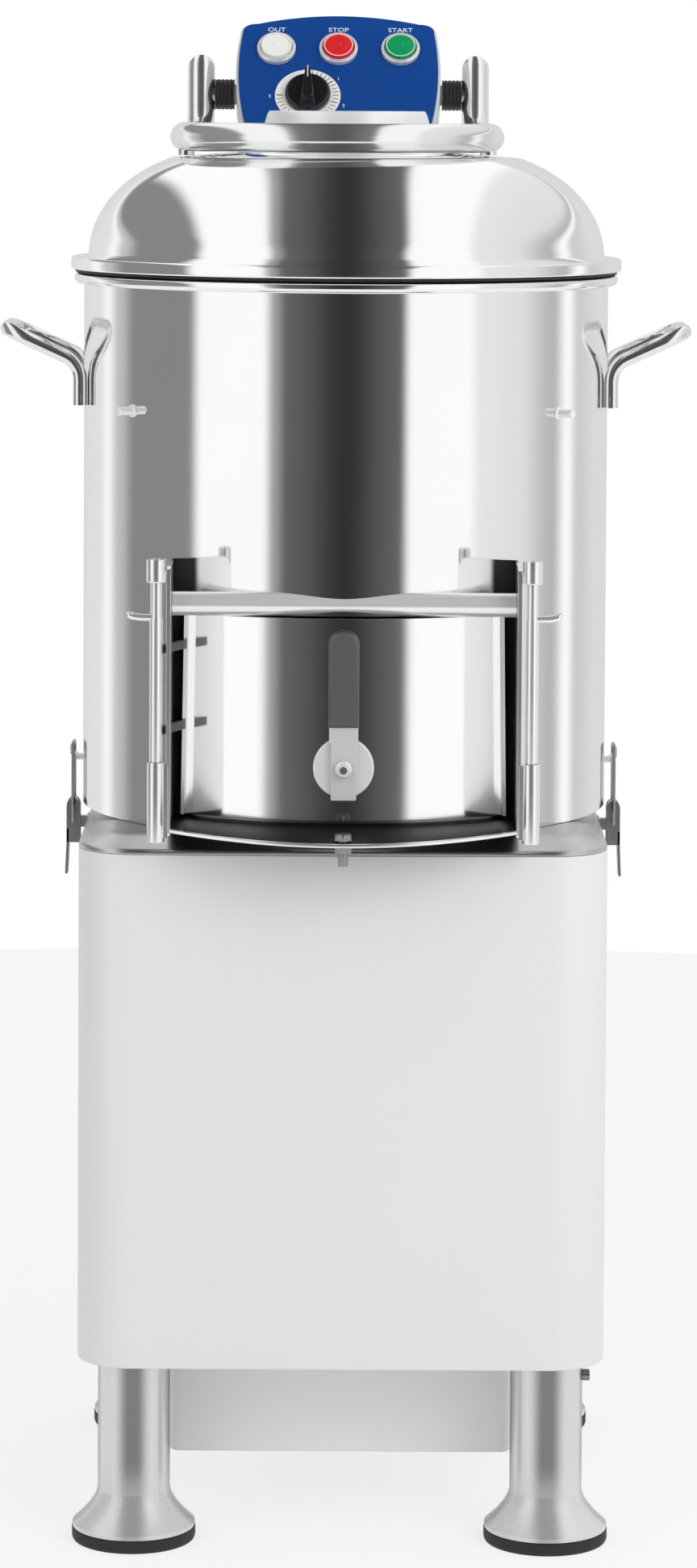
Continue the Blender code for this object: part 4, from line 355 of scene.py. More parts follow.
# Four darker bands round each tube stand in for what a leg mirrors in the photograph. The bell is satin.
LEG_STEEL, wire = material_of("leg_brushed_steel")
grain, axes = streaks(wire, 900, (1, 1, 0.02)), wire.axes()
across = wire.math("ABSOLUTE", wire.math("ABSOLUTE", axes[0]) - LEG_X)
along = wire.math("ABSOLUTE", wire.math("ABSOLUTE", axes[1]) - LEG_Y)
band = 1 - wire.math("MINIMUM", across, along).between(0.003, 0.014)
bell = 1 - axes[2].between(0.032, 0.062)
tint = blended(band * (1 - bell * 0.4), (0.72, 0.72, 0.725, 1), (0.24, 0.24, 0.245, 1))
gloss = 0.28 + (grain - 0.5) * 0.06
wire.finish(0.0000004, Base_Color=tint, Metallic=0.9 - bell * 0.65, Roughness=gloss, Height=grain)
SATIN = brushed_steel("satin_stainless", 0.72, 0.24, 0.12, (1, 1, 0.05))

rubber, wire = material_of("black_rubber", Base_Color=(0.018, 0.018, 0.019, 1))
grain = streaks(wire, 1400)
wire.finish(0.00002, Roughness=0.55 + grain * 0.2, Height=grain)

bell_turn = np.linspace(0, 1, 15)
bell = np.stack([
    LEG_RADIUS + (BELL_RADIUS - LEG_RADIUS) * bell_turn ** 1.55,
    BELL_HIGH - (BELL_HIGH - BELL_LOW) * bell_turn ** 0.92,
], 1)
leg_profile = np.concatenate([[(LEG_RADIUS, LEG_TOP)], bell, [
    (BELL_RADIUS + 0.0002, 0.0108), (BELL_RADIUS, 0.0094), (BELL_RADIUS - 0.002, 0.0094),
    (LEG_RADIUS - 0.002, 0.036), (LEG_RADIUS - 0.002, LEG_TOP),
]])
pad_profile = rounded([(0.040, 0), (0.0425, 0), (0.0435, 0.0022), (0.0435, 0.009), (0.040, 0.009)], 0.0007)
screw_profile = [(0.004, 0), (0.004, 0.0056), (0.0034, 0.0062)]
for end, way in (("front", -1), ("rear", 1)):
    for name, side in SIDES:
        place = end + "_" + name
        center = (side * LEG_X, way * LEG_Y)
        shapes = [turned(leg_profile, center, 64, ring=True)]
        if place == "front_right":
            screw_at = (LEG_X + LEG_RADIUS - 0.001, -LEG_Y, SET_SCREW_Z)
            shapes.append(lathe(screw_profile, screw_at, (1, 0, 0)))
        piece("leg_tube_" + place, shapes, LEG_STEEL, "satin_steel", "leg_" + place)
        pad = turned(pad_profile, center, 64)
        piece("rubber_foot_" + place, [pad], rubber, "rubber", "foot_pad_" + place)

# Cabinet. A wrapper of painted sheet steel bent round four soft corners, with a welded base plate.
# Its back has a service opening behind a flat panel on six small screws, and its enamel is slightly pebbled.
CABINET_HALF_X, CABINET_HALF_Y, CABINET_CORNER = 0.185, 0.187, 0.040
CABINET_BOTTOM, CABINET_TOP = 0.130, 0.490
CABINET_REAR = 0.1873


def boxed(profile, half_x, half_y, corner, middle_y=0.0, steps=14):
    """Profile (inset, z) carried round a rectangle with round corners: at each inset the sides move in by it
    and the corner's radius shrinks with them, and the ends are closed flat."""
    quarter = np.linspace(0, math.pi / 2, steps + 1)
    loops = []
    for inset, z in profile:
        radius = max(corner - inset, 0.0004)
        reach_x, reach_y = half_x - inset - radius, half_y - inset - radius
        arcs = [
            polar(radius, quarter + index * math.pi / 2, (way_x * reach_x, way_y * reach_y + middle_y))
            for index, (way_x, way_y) in enumerate(((1, 1), (-1, 1), (-1, -1), (1, -1)))
        ]
        loops.append(lifted(np.concatenate(arcs), z))
    return skinned(np.array(loops))


def painted(name, color, rough, depth):
    """Sprayed enamel or moulded skin: nearly even colour, with a fine pebble in its gloss."""
    material, wire = material_of(name, Coat_Roughness=0.2, Coat_Weight=0.15)
    cloud, pebble = streaks(wire, 5), streaks(wire, 650)
    tint = blended(cloud, (*[level * 0.965 for level in color], 1), (*color, 1))
    wire.finish(depth, Base_Color=tint, Roughness=rough + (pebble - 0.5) * 0.12, Height=pebble)
    return material


CABINET_PAINT = painted("cabinet_enamel", (0.80, 0.80, 0.805), 0.42, 0.00003)
shell_profile = rounded([
    (0.003, 0.132), (0.002, 0.132), (0.002, CABINET_BOTTOM), (0, CABINET_BOTTOM), (0, CABINET_TOP),
    (0.002, CABINET_TOP), (0.002, 0.4885), (0.01, 0.4885),
], [0, 0, 0.0006, 0.0012, 0.0012, 0.0006, 0, 0])
shell = boxed(shell_profile, CABINET_HALF_X, CABINET_HALF_Y, CABINET_CORNER)
piece("cabinet_wrapper", [shell], CABINET_PAINT, "cabinet_paint", "cabinet_shell")


def rectangle(left, right, low, high):
    """A rectangle's corners, from its lower left one on."""
    return np.array([(left, low), (right, low), (right, high), (left, high)])


def plate(outline, start, end, across=(1, 0, 0), up=(0, 0, 1)):
    """A flat outline (u, v) as a sheet: point = u across + v up + w normal, for w from start to end."""
    across, up = np.asarray(across, float), np.asarray(up, float)
    normal = np.cross(across, up)
    flat = np.outer(outline[:, 0], across) + np.outer(outline[:, 1], up)
    return skinned(np.array([flat + normal * start, flat + normal * end]))


BACKWARD = (0, 1, 0)
PANEL_HALF_X, PANEL_LOW, PANEL_HIGH, PANEL_SHEET = 0.147, 0.160, 0.410, 0.0015
SCREW_HEAD = [
    (0.0040, 0), (0.0040, 0.0006), (0.0032, 0.0014), (0.0016, 0.0019), (0.0014, 0.0010), (0.0003, 0.0009)
]
panel_outline = rounded(rectangle(-PANEL_HALF_X, PANEL_HALF_X, PANEL_LOW, PANEL_HIGH), 0.004, closed=True)
panel = plate(panel_outline, -CABINET_REAR, -CABINET_REAR - PANEL_SHEET)
piece("service_panel", [panel], CABINET_PAINT, "cabinet_paint", "back_panel", bevel=0.0004)
screws = [
    lathe(SCREW_HEAD, (x, CABINET_REAR + PANEL_SHEET, z), BACKWARD)
    for x in (-0.140, 0.140) for z in (0.168, 0.285, 0.402)
]
piece("panel_screws", screws, SATIN, "satin_steel")

# Shoulder. A pressed stainless top closes the cabinet: a short upright edge, a slope, and a flat for the
# drum. It is satin, so the drum and the outlet show in it only as soft shades.
SHOULDER_TOP = 0.502
shoulder_profile = rounded(
    [(0.002, 0.4903), (0, 0.4903), (0, 0.4933), (0.022, SHOULDER_TOP), (0.165, SHOULDER_TOP)],
    [0, 0.0004, 0.0030, 0.0060, 0],
)
shoulder_steel = brushed_steel("shoulder_satin", 0.60, 0.33, 0.12, (0.05, 1, 1))
shoulder = boxed(shoulder_profile, CABINET_HALF_X, CABINET_HALF_Y, CABINET_CORNER)
piece("pressed_shoulder", [shoulder], shoulder_steel, "satin_steel", "cabinet_top")

# Lower cover. A shallow painted tray under the cabinet hides the belt and the pulleys.
COVER_HALF_X, COVER_HALF_Y, COVER_CORNER, COVER_Y = 0.122, 0.1065, 0.008, 0.0115
COVER_LOW, COVER_HIGH = 0.046, 0.1317
cover_profile = [(0.001, COVER_HIGH), (0, COVER_HIGH), (0, COVER_LOW), (0.02, COVER_LOW)]
cover_profile = rounded(cover_profile, [0, 0, 0.0018, 0], steps=4)
cover = boxed(cover_profile, COVER_HALF_X, COVER_HALF_Y, COVER_CORNER, COVER_Y, steps=6)
# The tray's enamel is painted paler than the cabinet's: painted light that makes up for the cabinet's shadow
# on it.
tray_paint_lightened_for_shadow = painted("tray_enamel_painted_light", (0.93, 0.93, 0.935), 0.42, 0.00003)
piece("belt_tray", [cover], tray_paint_lightened_for_shadow, "cabinet_paint", "lower_cover")

# Drum. A tub rolled from mirror-polished stainless sheet, with a wired bead at its mouth and a welded floor.
# Its front has the outlet, a low rectangle, and its wall carries two stop studs and two folded keepers for
# the side latches.
DRUM_RADIUS, DRUM_WALL, DRUM_BOTTOM, DRUM_TOP = 0.190, 0.002, 0.5023, 0.8865
BEAD_RADIUS, BEAD_AT = 0.0040, (0.1930, 0.8830)
FLOOR_BORE, FLOOR_EDGE, FLOOR_TOP = 0.0203, 0.1895, 0.5053
HOLE_HALF, HOLE_BOTTOM, HOLE_TOP = 0.104, 0.521, 0.6565
POLISHED = brushed_steel("mirror_polished_steel", 0.93, 0.085, 0.05, (1, 1, 0.03), 0.0000008)


def holed_wall(outer, inner, rows, columns):
    """A closed-round wall between two grids [level, bearing], open between two levels and two bearings.
    The rims and the cut's edges are quads between the two skins. A cut that starts at level 0 is a notch."""
    levels, around = outer.shape[:2]
    low, along = np.meshgrid(np.arange(levels - 1), np.arange(around), indexing="ij")
    here, above, after = low * around, (low + 1) * around, (along + 1) % around
    is_open = (low >= rows[0]) & (low < rows[1]) & (along >= columns[0]) & (along < columns[1])
    skin = np.stack([here + along, here + after, above + after, above + along], 2)[~is_open]
    faces = [skin, skin[:, ::-1] + levels * around]

    def edge(level, bearing, next_level, next_bearing):
        first = level * around + bearing % around
        second = next_level * around + next_bearing % around
        faces.append(np.stack([first, second, second + levels * around, first + levels * around], 1))

    whole, cut, side = np.arange(around), np.arange(*columns), np.arange(*rows)
    foot = whole if rows[0] else np.setdiff1d(whole, cut)
    edge(levels - 1, whole, levels - 1, whole + 1)
    edge(0, foot, 0, foot + 1)
    edge(rows[1], cut, rows[1], cut + 1)
    if rows[0]:
        edge(rows[0], cut, rows[0], cut + 1)
    for bearing in columns:
        edge(side, bearing, side + 1, bearing)
    return np.concatenate([outer.reshape(-1, 3), inner.reshape(-1, 3)]), np.concatenate(faces).tolist()


def tub(radius, wall, low, high, hole_low, hole_high):
    """A straight wall about the drum's axis with the outlet cut in it. Bearing b is (r sin b, -r cos b)."""
    edge_bearing = math.asin(HOLE_HALF / radius)
    steps_in, steps_out = 28, 132
    bearing = np.concatenate([
        np.linspace(-edge_bearing, edge_bearing, steps_in, endpoint=False),
        np.linspace(edge_bearing, math.tau - edge_bearing, steps_out, endpoint=False),
    ])
    heights = np.concatenate([
        np.linspace(low, hole_low, 3)[:-1] if low < hole_low else [], [hole_low],
        np.linspace(hole_low, hole_high, 5)[1:], np.linspace(hole_high, high, 8)[1:],
    ])
    rows = [int(np.argmin(abs(heights - level))) for level in (hole_low, hole_high)]
    b, z = np.meshgrid(bearing, heights)
    skins = [np.stack([r * np.sin(b), -r * np.cos(b), z], 2) for r in (radius, radius - wall)]
    return holed_wall(*skins, rows, (0, steps_in))


drum_shapes = [
    tub(DRUM_RADIUS, DRUM_WALL, DRUM_BOTTOM, DRUM_TOP, HOLE_BOTTOM, HOLE_TOP),
    turned(polar(BEAD_RADIUS, full_turn(20), BEAD_AT), sides=160, ring=True),
    turned(rectangle(FLOOR_BORE, FLOOR_EDGE, DRUM_BOTTOM, FLOOR_TOP), ring=True),
]
piece("polished_tub", drum_shapes, POLISHED, "polished_steel", "drum")

STUD_BEARING, STUD_Z, KEEPER_HALF = math.radians(52), 0.793, 0.007
stud_profile = rounded([
    (0.0046, -0.001), (0.0046, 0.0012), (0.0030, 0.0014), (0.0030, 0.0122), (0.0022, 0.0130),
    (0.0004, 0.0132),
], 0.0006)
keeper_line = rounded([
    (0.1893, 0.531), (0.1945, 0.531), (0.1995, 0.5352), (0.1995, 0.5414), (0.1985, 0.5414), (0.1978, 0.5370),
    (0.1938, 0.5338), (0.1893, 0.5338),
], 0.0008, closed=True)
studs = []
for name, side in SIDES:
    out = np.array((side * math.sin(STUD_BEARING), -math.cos(STUD_BEARING), 0))
    studs.append(lathe(stud_profile, out * DRUM_RADIUS + (0, 0, STUD_Z), out, 32))
    studs.append(plate(keeper_line * (side, 1), -KEEPER_HALF, KEEPER_HALF))
stud_steel = brushed_steel("stud_bright_steel", 0.92, 0.25, 0.06, metal=0.3)
piece("studs_and_keepers", studs, stud_steel, "satin_steel", bevel=0.0003)

# Lining and turntable. A sleeve and a waved disc coated with dark abrasive grit peel the potatoes.
# The disc has three low waves and a domed hub, and spins on the main shaft.
LINER_RADIUS, LINER_WALL, LINER_LOW, LINER_HIGH = 0.1877, 0.003, 0.524, 0.866
grit, wire = material_of("abrasive_grit")
place = wire.add("ShaderNodeTexCoord", output=3)
grain = wire.add("ShaderNodeTexVoronoi", inputs={"Vector": place, "Scale": 420})
stops = [(0.0, (0.20, 0.19, 0.18)), (0.6, (0.055, 0.052, 0.05))]
speckled = wire.add("ShaderNodeValToRGB", {"stops": stops}, {0: grain})
tint = blended(streaks(wire, 30), speckled, (0.085, 0.08, 0.075, 1))
wire.finish(0.0009, Base_Color=tint, Roughness=0.8 + grain * 0.3, Height=1 - grain)
liner = tub(LINER_RADIUS, LINER_WALL, LINER_LOW, LINER_HIGH, LINER_LOW, HOLE_TOP)
piece("grit_sleeve", [liner], grit, "abrasive", "abrasive_liner")

DISC_RADIUS, DISC_LOW, DISC_TOP, HUB_RADIUS, HUB_TOP = 0.176, 0.511, 0.516, 0.030, 0.527
WAVE_HEIGHT, WAVES = 0.010, 3
WAVE_AT, WAVE_SHARE = (0.26, 0.40, 0.60, 0.80, 0.93, 1.0), (0.2, 0.6, 1.0, 0.9, 0.35, 0.0)
radii = np.concatenate([np.linspace(1.0, 0.2, 26) * DISC_RADIUS, np.linspace(1.0, 0.04, 10) * HUB_RADIUS])
turn = full_turn(144)
r, t = np.meshgrid(radii, turn, indexing="ij")
swell = np.interp(r / DISC_RADIUS, WAVE_AT, WAVE_SHARE, left=0.0)
wave = WAVE_HEIGHT * swell * np.maximum(0, np.cos(WAVES * t)) ** 2
hub = (HUB_TOP - DISC_TOP) * np.sqrt(np.clip(1 - (r / (HUB_RADIUS * 1.02)) ** 2, 0, 1))
disc_top = lifted(polar(r, t), DISC_TOP + np.maximum(wave, hub))
foot = np.array([
    (HUB_RADIUS * 0.5, DISC_LOW), (DISC_RADIUS - 0.0006, DISC_LOW), (DISC_RADIUS, DISC_LOW + 0.0008)
])
disc = skinned(np.concatenate([lifted(polar(foot[:, :1], turn), foot[:, 1:]), disc_top]))
piece("waved_disc", [disc], grit, "abrasive", "turntable", body="turntable")

# Outlet. Two polished cheeks stand out from the drum, and a sloping trough with a thin bright lip joins them.
# Welded eyes above and sleeves below carry the two upright rods of the door.
CHEEK_INNER, CHEEK_OUTER, CHEEK_FRONT, CHEEK_TOP, EYE_TOP = 0.119, 0.122, 0.207, 0.692, 0.697
ROD_X, ROD_Y = 0.129, 0.205
TROUGH_Z, TROUGH_SLOPE, TROUGH_SHEET = 0.513, 0.090, 0.0025
TROUGH_REACH, TROUGH_SIDE_REACH, TROUGH_STEPS, LIP_STEPS = 0.250, 0.210, 61, 7
# Painted shade: the cheeks' inside near the drum and the trough's floor behind its lip are darker than this
# studio alone would make them, and rougher.
CHUTE_STEEL, wire = material_of("chute_steel", Metallic=0.85)
grain, axes = streaks(wire, 900, (1, 1, 0.05)), wire.axes()
aside = wire.math("ABSOLUTE", axes[0])
reach = wire.math("SQRT", axes[0] * axes[0] * 1.33 + axes[1] * axes[1])
# Where shade is painted: the cheeks' inside near the drum, and the trough's floor up to its lip.
inside = (1 - aside.between(0.1200, 0.1210)) * axes[1].between(-0.170, -0.164)
low = (1 - aside.between(0.1192, 0.1200)) * (1 - reach.between(0.2462, 0.2478))
painted_shade = wire.math("MAXIMUM", inside, (1 - axes[2].between(0.5140, 0.5150)) * low)
bright = blended(streaks(wire, 7), (0.88, 0.88, 0.885, 1), (0.93, 0.93, 0.93, 1))
tint = blended(painted_shade, bright, (0.035, 0.035, 0.036, 1))
gloss = 0.20 + (grain - 0.5) * 0.10 + painted_shade * 0.25
wire.finish(0.000001, Base_Color=tint, Roughness=gloss, Height=grain)
share = np.linspace(-1, 1, TROUGH_STEPS)
x = share * (CHEEK_INNER + 0.0005)
rear = np.sqrt((DRUM_RADIUS + 0.0003) ** 2 - x ** 2)
front = TROUGH_REACH - (TROUGH_REACH - TROUGH_SIDE_REACH) * share ** 2
drop = (front - DRUM_RADIUS) * TROUGH_SLOPE
lip = TROUGH_SHEET / 2 * np.sin(np.linspace(0, math.pi, LIP_STEPS))
levels = np.linspace(0, -TROUGH_SHEET, LIP_STEPS)
section = [(rear, np.zeros(TROUGH_STEPS)), (0.5 * (rear + front), -0.5 * drop)]
section += [(front - TROUGH_SHEET / 2 + out, level - drop) for out, level in zip(lip, levels)]
section.append((0.5 * (rear + front), -0.5 * drop - TROUGH_SHEET))
section.append((rear, np.full(TROUGH_STEPS, -TROUGH_SHEET)))
trough = skinned(np.stack([np.stack([x, -reach, TROUGH_Z + level], 1) for reach, level in section], 1))

cheek_rear = -math.sqrt(DRUM_RADIUS ** 2 - CHEEK_INNER ** 2) + 0.001
cheek_foot = TROUGH_Z - TROUGH_SHEET - 0.0045
cheek_outline = rectangle(cheek_rear, -CHEEK_FRONT, cheek_foot, CHEEK_TOP)
cheek_outline = rounded(cheek_outline, [0, 0.002, 0.014, 0], steps=8, closed=True)
eye = rounded(rectangle(0.0042, 0.0068, 0.681, EYE_TOP), [0, 0.001, 0.001, 0])
sleeve = rounded(rectangle(0.0042, 0.0060, 0.502, 0.557), [0, 0.0006, 0.0006, 0])
chute = [trough]
for name, side in SIDES:
    chute.append(plate(cheek_outline, *sorted((side * CHEEK_INNER, side * CHEEK_OUTER)), across=(0, 1, 0)))
    chute += [turned(line, (side * ROD_X, -ROD_Y), 40, ring=True) for line in (eye, sleeve)]
    web = rectangle(-0.003, 0.003, -0.003, 0.003) + (side * 0.1235, -ROD_Y + 0.0005)
    chute.append(plate(web, 0.5045, 0.5560, up=(0, 1, 0)))
piece("outlet_cheeks_and_trough", chute, CHUTE_STEEL, "polished_steel", "outlet_chute", bevel=0.0003)


def hex_bar(flats, levels, center=(0, 0)):
    """A bar of round and six-sided lengths. Each level is (six-sided or not, radius, z). A six-sided one is a
    hexagon of half width flats with its corners cut back to the radius."""
    turn = full_turn(36)
    hexagon = flats / np.cos((turn + math.pi / 6) % (math.pi / 3) - math.pi / 6)
    return skinned(np.array([
        lifted(polar(np.minimum(hexagon, radius) if six else radius, turn, center), z)
        for six, radius, z in levels
    ]))


bolt_y = TROUGH_REACH - 0.010
bolt_seat = TROUGH_Z - (bolt_y - DRUM_RADIUS) * TROUGH_SLOPE + 0.0006
bolt_levels = [
    (0, 0.0030, -0.0178), (0, 0.0035, -0.0170), (0, 0.0035, -0.0086), (1, 0.0060, -0.0086),
    (1, 0.0065, -0.0080), (1, 0.0065, -0.0042), (1, 0.0060, -0.0036), (0, 0.0035, -0.0036), (0, 0.0035, 0),
    (1, 0.0065, 0), (1, 0.0065, 0.0036), (1, 0.0057, 0.0044), (0, 0.0030, 0.0045),
]
bolt = hex_bar(0.0056, [(six, radius, bolt_seat + z) for six, radius, z in bolt_levels], (0, -bolt_y))
bolt_satin = brushed_steel("bolt_plated_steel", 0.30, 0.30, 0.10, metal=0.9)
piece("trough_bolt_and_nut", [bolt], bolt_satin, "satin_steel", "trough_bolt")

# Crossbar. A polished round bar welded between the cheeks, half sunk in the front of the drum above the door.
BAR_RADIUS, BAR_HALF, BAR_Y, BAR_Z = 0.0084, 0.1187, 0.1828, 0.6642
bar = lathe([(BAR_RADIUS, -BAR_HALF), (BAR_RADIUS, BAR_HALF)], (0, -BAR_Y, BAR_Z), (1, 0, 0), 64)
bar_steel = brushed_steel("bar_bright_steel", 0.92, 0.22, 0.06, (0.05, 1, 1), metal=0.5)
piece("round_crossbar", [bar], bar_steel, "satin_steel", "crossbar")

# Door. A curved polished plate with its side edges bent forward, narrower at the top than at the foot.
# Two flat straps weld it to the left rod, which is its hinge. A rubber strip on its back seals the outlet.
DOOR_INNER, DOOR_OUTER, DOOR_LOW, DOOR_HIGH = 0.194, 0.197, 0.5155, 0.6555
DOOR_HALF_TOP, DOOR_HALF_LOW, FLANGE = 0.1095, 0.1115, 0.007
STRAP_HEIGHT, STRAPS_AT = 0.006, (0.575, 0.631)
DOOR_STEEL = brushed_steel("door_polished_steel", 0.95, 0.10, 0.05, (1, 1, 0.03), 0.0000008)


def door_point(share, radius, z):
    """A point of the door: share runs from -1 at its left edge to 1 at its right, where the half width
    goes evenly from foot to top, and the point lies on a cylinder about the drum's axis."""
    half = DOOR_HALF_LOW + (DOOR_HALF_TOP - DOOR_HALF_LOW) * (z - DOOR_LOW) / (DOOR_HIGH - DOOR_LOW)
    bearing = share * np.arcsin(half / DOOR_INNER)
    return np.stack([radius * np.sin(bearing), -radius * np.cos(bearing), z + 0 * bearing], -1)


flange_share = 0.003 / DOOR_HALF_TOP
bend_share = np.array([1, 1, 1 - flange_share, 1 - flange_share * 1.15])
bend_reach = np.array([FLANGE - 0.0004, FLANGE, FLANGE, 0.0006])
main_share = np.linspace(-1 + 2.2 * flange_share, 1 - 2.2 * flange_share, 49)
front_share = np.concatenate([-bend_share, main_share, bend_share[::-1]])
front_reach = np.concatenate([bend_reach, 0 * main_share, bend_reach[::-1]])
s, z = np.meshgrid(front_share, np.linspace(DOOR_LOW, DOOR_HIGH, 9))
door_front = door_point(s, DOOR_OUTER, z) - np.stack([0 * s, front_reach + 0 * s, 0 * s], 2)
door_back = door_point(s, DOOR_INNER, z)
door_plate = skinned(np.concatenate([door_front, door_back[:, ::-1]], 1))
piece("door_plate", [door_plate], DOOR_STEEL, "polished_steel", "door_panel", body="door", bevel=0.0003)

rod = np.array((-ROD_X, -ROD_Y))
edge = door_point(np.array(-1.0), DOOR_OUTER, np.array(0.6))[:2] - (0, FLANGE / 2)
along = (edge - rod) / np.linalg.norm(edge - rod)
across = np.array((-along[1], along[0])) * 0.002
end = edge + along * 0.0008
strap = np.array([rod - across, end - across, end + across, rod + across])
# The straps' steel is painted dark as shade, so that they read as the shaded gap between the door and its
# rod.
strap_shade_steel = brushed_steel("strap_painted_shade_steel", 0.25, 0.45, 0.10, (1, 1, 0.2), metal=0.7)
straps = [plate(strap, z, z + STRAP_HEIGHT, up=(0, 1, 0)) for z in STRAPS_AT]
piece("door_straps", straps, strap_shade_steel, "polished_steel", "door_panel", body="door", bevel=0.0003)


def swept(path, radius, sides=24):
    """A round bar along a path: each point's circle lies across the mean of its two neighbouring runs,
    and its start direction is carried along without twist. The radius may change from point to point."""
    path = np.asarray(path, float)
    radius = np.broadcast_to(radius, len(path))
    tangent = np.gradient(path, axis=0)
    tangent /= np.linalg.norm(tangent, axis=1)[:, None]
    side = np.cross(tangent[0], (0.31, 0.17, 0.94))
    turns = full_turn(sides)[:, None]
    loops = []
    for point, forward, reach in zip(path, tangent, radius):
        side = side - forward * (side @ forward)
        side = side / np.linalg.norm(side)
        loops.append(point + reach * (np.cos(turns) * side + np.sin(turns) * np.cross(forward, side)))
    return skinned(np.array(loops))


# The two upright rods are turned down at both ends, and each has a bent handle to lift it by.
rod_line = rounded([
    (0.0003, 0.538), (0.0035, 0.538), (0.0035, 0.5573), (0.0045, 0.5573), (0.0045, 0.655), (0.0045, 0.656),
    (0.0040, 0.6572), (0.0040, 0.6967), (0.0003, 0.6967),
], [0, 0.0008, 0, 0.0005, 0, 0.001, 0.001, 0.0006, 0])
tail_line = rounded([
    (ROD_X, -ROD_Y, 0.6568), (ROD_X + 0.012, -ROD_Y, 0.6568), (ROD_X + 0.0175, -ROD_Y, 0.6580),
    (ROD_X + 0.0200, -ROD_Y, 0.6606),
], [0, 0.003, 0.002, 0], steps=7)
tail_radius = np.full(len(tail_line), 0.0025)
tail_radius[-3:] = (0.0024, 0.0020, 0.0011)
rods = [
    [turned(rod_line, (side * ROD_X, -ROD_Y), 32), swept(tail_line * (side, 1, 1), tail_radius, 20)]
    for name, side in SIDES
]
ROD_STEEL = brushed_steel("rod_bright_steel", 0.93, 0.20, 0.08, (1, 1, 0.05), metal=0.75)
piece("hinge_rod", rods[0], ROD_STEEL, "satin_steel", body="door")
piece("locking_rod", rods[1], ROD_STEEL, "satin_steel", "locking_pin", body="locking_pin")

SEAL_LOW, SEAL_HIGH = 0.5185, 0.6525
s = np.linspace(-1, 1, 49)
seal_loops = []
for inset, radius in (
    (0, 0.1937), (0, 0.1914), (0.0005, 0.1912), (0.0055, 0.1912), (0.006, 0.1914), (0.006, 0.1937)
):
    half = 1 - (0.003 + inset) / DOOR_HALF_TOP
    low = door_point(s * half, radius, np.full(len(s), SEAL_LOW + inset))
    high = door_point(s[::-1] * half, radius, np.full(len(s), SEAL_HIGH - inset))
    seal_loops.append(np.concatenate([low, high]))
seal = skinned(np.array(seal_loops), ring=True)
piece("door_seal_strip", [seal], rubber, "rubber", "door_seal", body="door")

# Door lever. A flat steel lever turns on a stud through a round boss, under a domed nut, and carries a
# dark plastic sleeve as its grip. Its shank is stepped, wider above the boss.
LEVER_AT, FORWARD = (0, 0, 0.553), (0, -1, 0)
boss_satin = brushed_steel("boss_turned_steel", 0.90, 0.30, 0.08, metal=0.35)
boss_line = rounded([
    (0.0003, DOOR_INNER + 0.0033), (0.021, DOOR_INNER + 0.0033), (0.021, DOOR_INNER + 0.0073),
    (0.003, DOOR_INNER + 0.0073),
], [0, 0, 0.0012, 0])
nut_line = rounded([
    (0.0003, 0.2055), (0.0058, 0.2055), (0.0058, 0.2105), (0.0046, 0.2116), (0.0030, 0.2116),
    (0.0030, 0.2124), (0.0022, 0.2128), (0.0003, 0.2128),
], [0, 0, 0.0006, 0.0004, 0, 0.0003, 0.0003, 0])
stem_line = [(0.0030, 0.2010), (0.0030, 0.2058)]
lines = ((boss_line, 72), (nut_line, 48), (stem_line, 24))
boss = [lathe(line, LEVER_AT, FORWARD, sides) for line, sides in lines]
piece("lever_boss_and_nut", boss, boss_satin, "satin_steel", "lever_stud", body="door")
# A dark disc on the domed nut's top is painted shade at the nut's middle.
nut_shade_steel = brushed_steel("nut_painted_shade_steel", 0.30, 0.34, 0.10, metal=0.9)
nut_shade_line = [(0.0003, 0.2129), (0.0026, 0.2129), (0.0024, 0.2132), (0.0003, 0.2132)]
piece("nut_shade_disc", [lathe(nut_shade_line, LEVER_AT, FORWARD, 32)], nut_shade_steel, "satin_steel", body="door")

half_outline = [(0.00875, 0.531), (0.00875, 0.5700), (0.0100, 0.5720), (0.0100, 0.5817)]
shank = half_outline + [(-x, z) for x, z in reversed(half_outline)]
shank = rounded(shank, [0.0012, 0.001, 0.001, 0, 0, 0.001, 0.001, 0.0012], closed=True)
lever_satin = brushed_steel("lever_satin_steel", 0.74, 0.36, 0.12, (1, 1, 0.05), metal=0.35)
lever = plate(shank, 0.2016, 0.2056)
piece("lever_shank", [lever], lever_satin, "satin_steel", "door_lever", body="door_lever", bevel=0.0005)

GRIP_HALF, GRIP_LOW, GRIP_HIGH, GRIP_CROWN, GRIP_MIDDLE = 0.0105, 0.582, 0.647, 0.0085, 0.615
grip_turn = np.linspace(0, math.pi, 25)
crown = GRIP_HIGH - GRIP_CROWN + GRIP_CROWN * np.sin(grip_turn) ** 0.8
grip_line = np.concatenate([
    [(-GRIP_HALF, GRIP_LOW), (GRIP_HALF, GRIP_LOW)], np.stack([GRIP_HALF * np.cos(grip_turn), crown], 1)
])
center, half = np.array((0, GRIP_MIDDLE)), np.array((GRIP_HALF, 0.0325))
sleeve_loops = [
    np.insert((grip_line - center) * (1 - inset / half) + center, 1, -y, 1) for inset, y in (
        (0.0030, 0.1986), (0.0012, 0.1989), (0.0003, 0.1998), (0, 0.2010), (0, 0.2062), (0.0003, 0.2074),
        (0.0012, 0.2083), (0.0030, 0.2086),
    )
]
sleeve_plastic = painted("grip_sleeve_plastic", (0.090, 0.090, 0.093), 0.45, 0.00002)
sleeve = skinned(np.array(sleeve_loops))
piece("grip_sleeve", [sleeve], sleeve_plastic, "grip_plastic", "lever_grip", body="door_lever")

